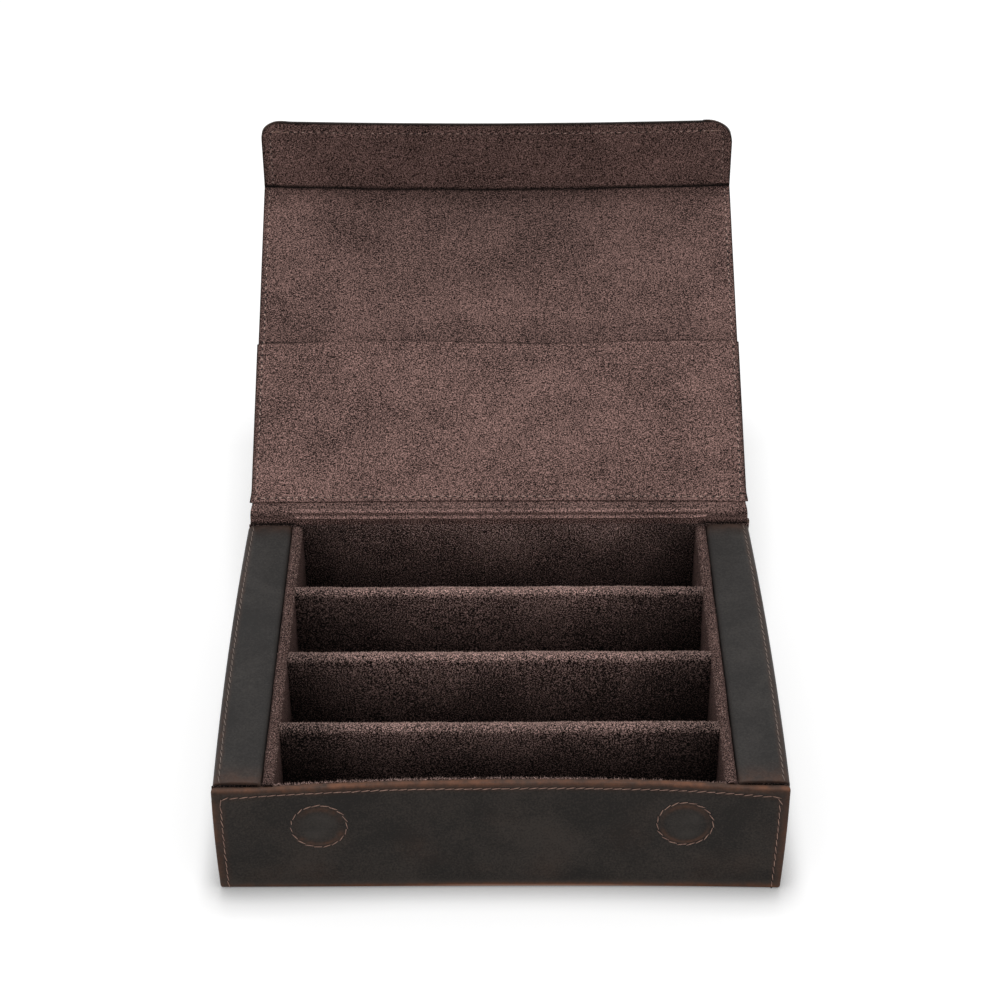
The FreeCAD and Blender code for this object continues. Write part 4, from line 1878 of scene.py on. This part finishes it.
    def suede_face(
        self, node: str, plane: Plane, place: Place
    ) -> None:
        """The suede lining of a panel.

        Args:
            node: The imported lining.
            plane: The panel's axes.
            place: The panel's shaping.
        """
        low, high = plane.box(node)
        sides, tip = self.finer(node, high)
        mouth = self.plane.box("lid_pocket")[1][1]
        before, after = self.mouth_zone
        finer = tip or ((mouth - before, mouth + after, self.mouth_cell),)
        across = Span(low[0], high[0], self.lining_cells[0], finer=sides)
        along = Span(low[1], high[1], self.lining_cells[1], finer=finer, **self.open_ends(node))
        skin = Shell.slab(across, along, Span(low[2], high[2], self.suede), self.suede_radius)
        x, run, up = skin.points.T
        top = up > (low[2] + high[2]) / 2
        inwards = ease(np.minimum(run - low[1], high[1] - run) / self.lining_ramp)
        skin.points[:, 2] += top * inwards * self.lining_wave.at(x, run)
        # The laid mark: painted shade and light, and the dark leather edges.
        skin.marks["laid"] = self.laid(node, x, run)
        piece = skin.placed(place).to_object(node + "_suede")
        dress(piece, self.finishes.lining, Slot.SUEDE, [node], self.body_of(node))

    def dark_border(self, x: Array) -> Array:
        """How dark the painted border along the sides is."""
        return self.border_dark * ease((self.border - self.half_width + np.abs(x)) / self.border)

    def laid(self, node: str, x: Array, run: Array) -> Array:
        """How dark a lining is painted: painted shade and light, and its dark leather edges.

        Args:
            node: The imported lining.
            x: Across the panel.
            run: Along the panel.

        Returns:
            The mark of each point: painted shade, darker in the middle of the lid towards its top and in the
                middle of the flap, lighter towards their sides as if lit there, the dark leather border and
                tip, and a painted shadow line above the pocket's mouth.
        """
        border = self.dark_border(x)
        aside = (x / self.half_width) ** 2
        if node == "flap_lining":
            end = self.tip_dark * ease((self.border - self.flap_end + run) / self.border)
            return np.maximum.reduce([self.flap_shade * (1 - aside), border, end])
        share = np.clip(run / self.lid_end, 0, 1)
        past = run - self.pocket_top(x, self.plane.box("lid_pocket")[1][1])
        line = self.mouth_line + self.mouth_patches.along(x)
        line = line * bell(past - self.mouth_past, self.mouth_width)
        far = (1 - self.shade_aside * aside) * ease((share - self.shade_from) / self.shade_ramp)
        least, more = self.lid_shade
        shade = least + more * np.maximum(far, self.mouth_shade.at(past))
        return np.maximum.reduce([shade, border, line])

    def pocket_top(self, x: Array, end: float) -> Array:
        """The wavy height of the pocket's open edge, about its usual end along the lid."""
        return end + self.pocket_wave.along(x)

    def pocket_shape(self, local: Array) -> Array:
        """Shapes the pocket on the lid.

        Args:
            local: Across, along from the hinge line, and up to the lining.

        Returns:
            The points in the frame.
        """
        low, high = self.plane.box("lid_pocket")
        x, along, up = local.T
        share = (along - low[1]) / (high[1] - low[1])
        side = 1 - (x / self.half_width) ** 2
        starts = low[1] + self.pocket_lift[0] + self.pocket_lift[1] * side
        along = starts + (self.pocket_top(x, high[1]) - starts) * share
        up = up + self.pocket_gape * np.clip(share, 0, 1) ** 4 * side
        pucker = self.pocket_pucker.height + self.pocket_pucker.at(x, along)
        up = up + pucker * np.clip(side * 4, 0, 1)
        over = self.pocket_over + self.pocket_flare.at(along - starts)
        x = x * (1 + over / self.half_width)
        return self.lid_shape(np.stack([x, along, up], axis=1))

    def pocket(self) -> None:
        """The slip pocket sewn to the lining."""
        low, high = self.plane.box("lid_pocket")
        across = Span(low[0], high[0], self.pocket_cells[0])
        finer = ((high[1] - self.pocket_zone, high[1], self.pocket_end_cell),)
        along = Span(low[1], high[1], self.pocket_cells[1], finer=finer)
        skin = Shell.slab(across, along, Span(low[2], high[2], 1.0), self.pocket_radius)
        x, run, _ = skin.points.T
        # Painted shade over the pocket, lifted to a painted highlight along its open edge, with the dark
        # leather border.
        shade = self.pocket_shade.strength - self.pocket_shade.at(run - high[1])
        skin.marks["laid"] = np.maximum(self.dark_border(x), shade)
        piece = skin.placed(self.pocket_shape).to_object("lid_pocket_suede")
        dress(piece, self.finishes.lining, Slot.SUEDE, ["lid_pocket"], Body.LID)

    def bend(
        self, node: str, path: BentPath, thick: float, shape: Place, finish: Material, slot: Slot,
        bodies: tuple[Body, Body], ends: tuple[Pair, Pair],
        pressed: Callable[[Array, Array], Array] | None = None, coarse_end: float = 0.0,
    ) -> Piece:
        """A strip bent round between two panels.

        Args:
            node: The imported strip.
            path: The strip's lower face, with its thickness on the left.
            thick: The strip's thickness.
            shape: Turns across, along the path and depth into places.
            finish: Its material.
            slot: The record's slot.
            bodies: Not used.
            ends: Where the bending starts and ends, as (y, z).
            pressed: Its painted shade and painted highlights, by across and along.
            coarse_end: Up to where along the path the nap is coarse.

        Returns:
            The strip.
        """
        across = Span(-self.half_width, self.half_width, self.strip_cells[0])
        along = Span(0, path.length, self.strip_cells[1], round_low=False, round_high=False)
        radius = min(self.edge_radius, self.strip_round * thick)
        skin = Shell.slab(across, along, Span(0, thick, thick), radius)
        x, run, _ = skin.points.T
        skin.marks["wear"] = self.strip_rub.at(self.half_width - np.abs(x))
        # The laid mark carries the strip's painted shade and painted highlights.
        skin.marks["laid"] = pressed(x, run) if pressed else np.zeros_like(x)
        skin.marks["coarse"] = ease((coarse_end - run) / self.coarse_ramp)
        piece = skin.placed(shape).to_object(node + "_strip")
        dress(piece, finish, slot, [node])
        start, end = ((0, y, z) for y, z in ends)
        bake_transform(piece)
        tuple(start)
        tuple(end)
        return piece

    def hinge(self) -> Piece:
        """The bending strip between the back panel and the lid, leather outside and ridged suede inside.

        Returns:
            The suede strip.
        """
        rim = self.base.rim_z
        _, reach, outer = self.plane.box("lid_leather")[0]
        low = self.plane.box("lid_lining")[0][2]
        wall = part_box("back_lining")[1].y
        bodies = (Body.CASE, Body.LID)
        above, before = self.hinge_ends
        ends = ((self.plane.y, rim + above), self.plane.flat(reach - before, 0))
        paths = []
        for y, up, radius in ((self.base.back_y, outer, self.hinge_radius), (wall, low, low)):
            lid_point = self.plane.flat(reach, up)
            corner = (y, lid_point[1] - (lid_point[0] - y) * math.tan(self.plane.angle))
            paths.append(BentPath([(y, rim), corner, lid_point], [radius]))

        def middle(x: Array, inset: float) -> Array:
            """1 in the middle of the strip and 0 towards its ends."""
            return ease((self.half_width - inset - np.abs(x)) / self.ridge_ramp)

        def shaped(path: BentPath, ridges: Sequence[float]) -> Place:
            """The strip's shaping, with soft ridges at some places along it."""

            def place(local: Array) -> Array:
                """Bends the strip and raises its ridges."""
                x, along, depth = local.T
                share = along / path.length
                rows = zip(ridges, self.ridge_lift)
                raised = sum(tall * bell(along - ridge, self.ridge_width) for ridge, tall in rows)
                lift = middle(x, self.ridge_inset) * raised
                y, z = path.walk(along, depth + lift * (depth > self.ridge_above))
                wide = self.strip_half + (self.hinge_half - self.strip_half) * share
                wide = (wide + self.strip_bulge * np.sin(math.pi * share)) / self.half_width
                return np.stack([x * wide, y, z], axis=1)

            return place

        leather, lining = paths
        self.bend(
            "hinge_leather", leather, self.leather, shaped(leather, ()),
            self.finishes.leather, Slot.LEATHER, bodies, ends,
        )
        ridges = [share * lining.length for share in self.ridge_places]

        def pressed(x: Array, along: Array) -> Array:
            """Painted shade between the ridges and where the strip meets the side walls, lifted to painted
            highlights on the ridges.
            """
            inside = middle(x, self.pale_inset)
            pale = sum(bell(along - ridge, self.pale_width) for ridge in ridges)
            crease = self.hinge_crease.at(along - sum(ridges) / 2) * inside
            valley = self.hinge_valley.at(along - ridges[1] - self.valley_past) * inside
            by_wall = ease((np.abs(x) - self.half_width + self.wall_inset) / self.wall_ramp)
            most, less = self.hinge_shade
            shade = most - less * ease((ridges[0] - along) / self.hinge_ramp)
            wall = self.wall_shadow.at(along) * by_wall
            return np.maximum.reduce([shade * (1 - pale * inside), crease, valley, wall])

        return self.bend(
            "hinge_lining", lining, self.suede, shaped(lining, ridges), self.finishes.edging, Slot.SUEDE,
            bodies, ends, pressed, ridges[0] - self.coarse_before,
        )

    def fold(self) -> Piece:
        """The bending strip between the lid and the flap.

        Returns:
            The suede strip.
        """
        lid_way, flap_way = self.plane.angle, self.flap_plane.angle
        flap_reach = self.flap_plane.box("flap_leather")[0][1]
        outer = self.plane.box("lid_leather")[0][2]
        bodies = (Body.LID, Body.FLAP)
        ends = (self.plane.flat(self.lid_end, outer), self.flap_plane.flat(flap_reach, 0))
        layers = (
            ("leather", self.leather, self.finishes.leather, Slot.LEATHER),
            ("lining", self.suede, self.finishes.lining, Slot.SUEDE),
        )
        for (layer, thick, finish, slot), radius in zip(layers, self.fold_radii):
            first = self.plane.flat(self.lid_end, self.plane.box("lid_" + layer)[0][2])
            last = self.flap_plane.flat(flap_reach, self.flap_plane.box("flap_" + layer)[0][2])
            gap_y, gap_z = last[0] - first[0], last[1] - first[1]
            run = (gap_y * math.sin(flap_way) - gap_z * math.cos(flap_way)) / math.sin(flap_way - lid_way)
            corner = (first[0] + run * math.cos(lid_way), first[1] + run * math.sin(lid_way))
            path = BentPath([first, corner, last], [radius])
            arc = [walked for walked, _, _, bend in path.stretches if bend][0]
            bent = arc + radius * (flap_way - lid_way) / 2

            def place(local: Array, path: BentPath = path) -> Array:
                """Bends the strip round the fold."""
                x, along, depth = local.T
                y, z = path.walk(along, depth)
                across = x * self.fold_half / self.half_width + self.drift
                return np.stack([across, y, z], axis=1) + self.sunk(x)

            def pressed(x: Array, along: Array, bent: float = bent) -> Array:
                """Painted shade in the fold's crease, which wanders and climbs to the flap at its ends."""
                wander = self.fold_wander.along(x) + self.fold_jitter.at(x, x)
                climb = self.fold_climb * (np.abs(x) / self.half_width) ** 4
                return self.fold_crease.at(along - bent - wander - climb)

            strip = self.bend("fold_" + layer, path, thick, place, finish, slot, bodies, ends, pressed)
        return strip

    def seams(self) -> dict[str, list[StitchRow]]:
        """The rows of the lid and the flap, by piece.

        Returns:
            Rows on the lining and on the leather of each body.
        """
        side = self.half_width - self.seam_inset
        pocket_low, pocket_high = self.plane.box("lid_pocket")
        inner = self.plane.box("lid_lining")[1][2] + self.stitch_lift
        outer = self.plane.box("lid_leather")[0][2] - self.stitch_lift
        on_pocket = pocket_high[2] + self.stitch_lift
        starts = pocket_low[1] + self.seam_start
        ends = self.lid_end - self.seam_end
        before, after = pocket_high[1] - self.seam_end, pocket_high[1] + self.seam_end
        lid_inner, lid_outer = [], []
        runs = (
            (lid_inner, self.lid_shape, np.linspace(after, ends, self.side_points), inner, 1),
            (lid_inner, self.pocket_shape, np.linspace(starts, before, self.side_points), on_pocket, 1),
            (lid_outer, self.lid_shape, np.linspace(starts, ends, ROW_POINTS), outer, -1),
        )
        for sign in (-1, 1):
            for rows, shape, run, up, away in runs:
                rows.append(StitchRow.on(shape, np.full_like(run, sign * side), run, up, away))
        x = np.linspace(-side, side, ROW_POINTS)
        for rows, shape, run, up, away in runs[1:]:
            rows.append(StitchRow.on(shape, x, np.full_like(x, starts), up, away))
        low, high = self.flap_plane.box("flap_leather")
        side = self.half_width - self.flap_side_seam
        start, tip = low[1] + self.seam_end, high[1] - self.tip_seam
        x, run = walked_line([(-side, start), (-side, tip), (side, tip), (side, start)], ROW_STEP)
        top = self.flap_plane.box("flap_lining")[1][2] - self.tip_sink
        flap_inner = [StitchRow.on(self.tip_shape, x, run, top, 1)]
        flap_outer = [StitchRow.on(self.tip_shape, x, run, low[2] - self.stitch_lift, -1)]
        tacks = []
        for sign in (-1, 1):
            begin = side - self.tack_inset
            x = sign * np.linspace(begin, begin - self.tack_length, self.tack_points)
            tacks.append(StitchRow.on(self.tip_shape, x, np.full_like(x, tip), top + self.tack_lift, 1))
        return {
            "lid_lining": lid_inner, "lid_leather": lid_outer,
            "flap_lining": flap_inner, "flap_leather": flap_outer, "flap_tack": tacks,
        }

    def dress(self) -> None:
        """Makes all pieces of the lid, the flap and the two bending strips."""
        self.hide("lid_leather", self.plane, self.lid_shape, "lid_board")
        self.core("lid_board", self.plane, self.lid_shape)
        strips = [self.hinge(), self.fold()]
        self.suede_face("lid_lining", self.plane, self.lid_shape)
        self.pocket()
        self.hide("flap_leather", self.flap_plane, self.tip_shape, "flap_board")
        self.suede_face("flap_lining", self.flap_plane, self.tip_shape)
        for node in ("flap_board", "flap_magnet_left", "flap_magnet_right"):
            self.core(node, self.flap_plane, self.tip_shape)


@dataclass
class Studio:
    """A plain pale floor, soft light and the camera at the photograph's viewing angle."""

    camera_place: tuple[float, float, float] = (0.46 * MM, -679.74 * MM, 614.62 * MM)
    pitch: float = math.radians(36.06)
    roll: float = math.radians(-0.19)
    lens: float = 81.0
    sensor: float = 36.0
    clip_start: float = 10 * MM
    sky: float = 0.62
    softbox_power: float = 10.5
    softbox_size: float = 0.5
    softbox_place: tuple[float, float, float] = (0.0, 0.25, 1.6)
    floor_half: float = 6.0
    floor_white: str = "#f4f4f4"
    floor_bounce: str = "#b4b4b4"
    floor_lift: float = 0.24
    floor_roughness: float = 0.9
    contact: float = 9 * MM

    @staticmethod
    def seen(tree: Tree) -> Socket:
        """Gives 1 for what the camera sees, itself, mirrored or through glass, and 0 for other light.

        Args:
            tree: The floor's or the sky's node tree.

        Returns:
            The socket.
        """
        path = put(tree, "ShaderNodeLightPath").node.outputs
        seen = path["Is Camera Ray"]
        for way in ("Is Glossy Ray", "Is Transmission Ray"):
            seen = put(tree, "ShaderNodeMath", {0: seen, 1: path[way]}, operation="MAXIMUM")
        return seen

    def floor(self) -> None:
        """The floor: white, with a little light of its own towards the camera so that only shadows show, and
        a contact shadow painted into its colour by ambient occlusion near the box.
        """
        mesh = bpy.data.meshes.new("floor")
        half = self.floor_half
        corners = [(-half, -half, 0), (half, -half, 0), (half, half, 0), (-half, half, 0)]
        mesh.from_pydata(corners, [], [(0, 1, 2, 3)])
        material, tree, shader = blank("white_studio_floor")
        seen = self.seen(tree)
        colour = put(
            tree, "ShaderNodeMix",
            {0: seen, 6: linear(self.floor_bounce), 7: linear(self.floor_white)}, data_type="RGBA", out=2,
        )
        contact_shadowed_colour = put(
            tree, "ShaderNodeAmbientOcclusion", {"Color": colour, "Distance": self.contact}, samples=4
        )
        glow = put(tree, "ShaderNodeMath", {0: seen, 1: self.floor_lift}, operation="MULTIPLY")
        surface = {
            "Base Color": contact_shadowed_colour, "Roughness": self.floor_roughness, "Specular IOR Level": 0.0,
            "Emission Color": linear(WHITE), "Emission Strength": glow,
        }
        feed(tree, shader, surface)
        mesh.materials.append(material)
        shown("floor", mesh)

    def world(self) -> None:
        """An even soft sky, which the camera sees as white."""
        world = bpy.data.worlds.new("soft_sky")
        bpy.context.scene.world = world
        world.use_nodes = True
        tree = world.node_tree
        tree.nodes.clear()
        lit = put(tree, "ShaderNodeBackground", {"Color": linear(WHITE), "Strength": self.sky})
        white = put(tree, "ShaderNodeBackground", {"Color": linear(WHITE), "Strength": 1.0})
        mixed = put(
            tree, "ShaderNodeMixShader",
            {0: self.seen(tree), 1: lit, 2: white},
        )
        put(tree, "ShaderNodeOutputWorld", {"Surface": mixed})

    def softbox(self) -> None:
        """One large lamp above and a little behind the box, turned to it."""
        lamp = bpy.data.lights.new("softbox", "AREA")
        lamp.energy = self.softbox_power
        lamp.size = self.softbox_size
        place = Vector(self.softbox_place)
        turned = place.to_track_quat("Z", "Y").to_matrix().to_4x4()
        shown("softbox", lamp).matrix_world = Matrix.Translation(place) @ turned

    def camera(self) -> None:
        """The camera."""
        data = bpy.data.cameras.new("camera")
        data.lens = self.lens
        data.sensor_width = self.sensor
        data.clip_start = self.clip_start
        made = shown("camera", data)
        tilt = Matrix.Rotation(math.pi / 2 - self.pitch, 4, "X") @ Matrix.Rotation(self.roll, 4, "Z")
        made.matrix_world = Matrix.Translation(Vector(self.camera_place)) @ tilt
        bpy.context.scene.camera = made

    def build(self) -> None:
        """Sets up the floor, the light and the camera."""
        bpy.context.scene.view_settings.view_transform = "Standard"
        self.floor()
        self.world()
        self.softbox()
        self.camera()


def finish_inner_nodes(finishes: Finishes) -> None:
    """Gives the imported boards, cards, cores and magnets that stay their materials.

    Args:
        finishes: The materials.
    """
    for name, node in frame["nodes"].items():
        if node.hide_render:
            continue
        if name.endswith(("_board", "_card")):
            finish = finishes.board
        elif name.endswith("_core"):
            finish = finishes.core
        else:
            finish = finishes.nickel
        node.data.materials.clear()
        node.data.materials.append(finish)
        log.info("%s keeps its packed shape", name)


def main() -> None:
    """Builds the box piece by piece, then the studio."""
    logging.basicConfig(level=logging.INFO, format="%(message)s")
    finishes = Finishes()
    saddle = Stitching()
    under = Stitching(stitch_length=1.5 * MM, thread_radius=0.26 * MM, hole_radius=0.4 * MM)
    base = BasePanel(finishes)
    base.dress()
    walls = [SideWall(finishes, side) for side in Side]
    for wall in walls:
        wall.dress()
    Tray(finishes, base).dress(Nap())
    lid = Lid(finishes, base)
    lid.dress()
    wall_rows = [row for wall in walls for row in wall.seams()]
    sewn = {
        "front_leather": (base.seams(), finishes.tan_thread, Body.CASE),
        "wall_leather": (wall_rows, finishes.grey_thread, Body.CASE),
    }
    for name, rows in lid.seams().items():
        thread = finishes.dark_thread if name.endswith("_lining") else finishes.tan_thread
        sewn[name] = (rows, thread, Lid.body_of(name))
    for name, (rows, thread, body) in sewn.items():
        stitching = under if name.endswith("_lining") else saddle
        dress(stitching.sew(name + "_stitches", rows, thread, finishes.hole), thread, None, body=body)
    finish_inner_nodes(finishes)
    Studio().build()


if __name__ == "__main__":
    main()
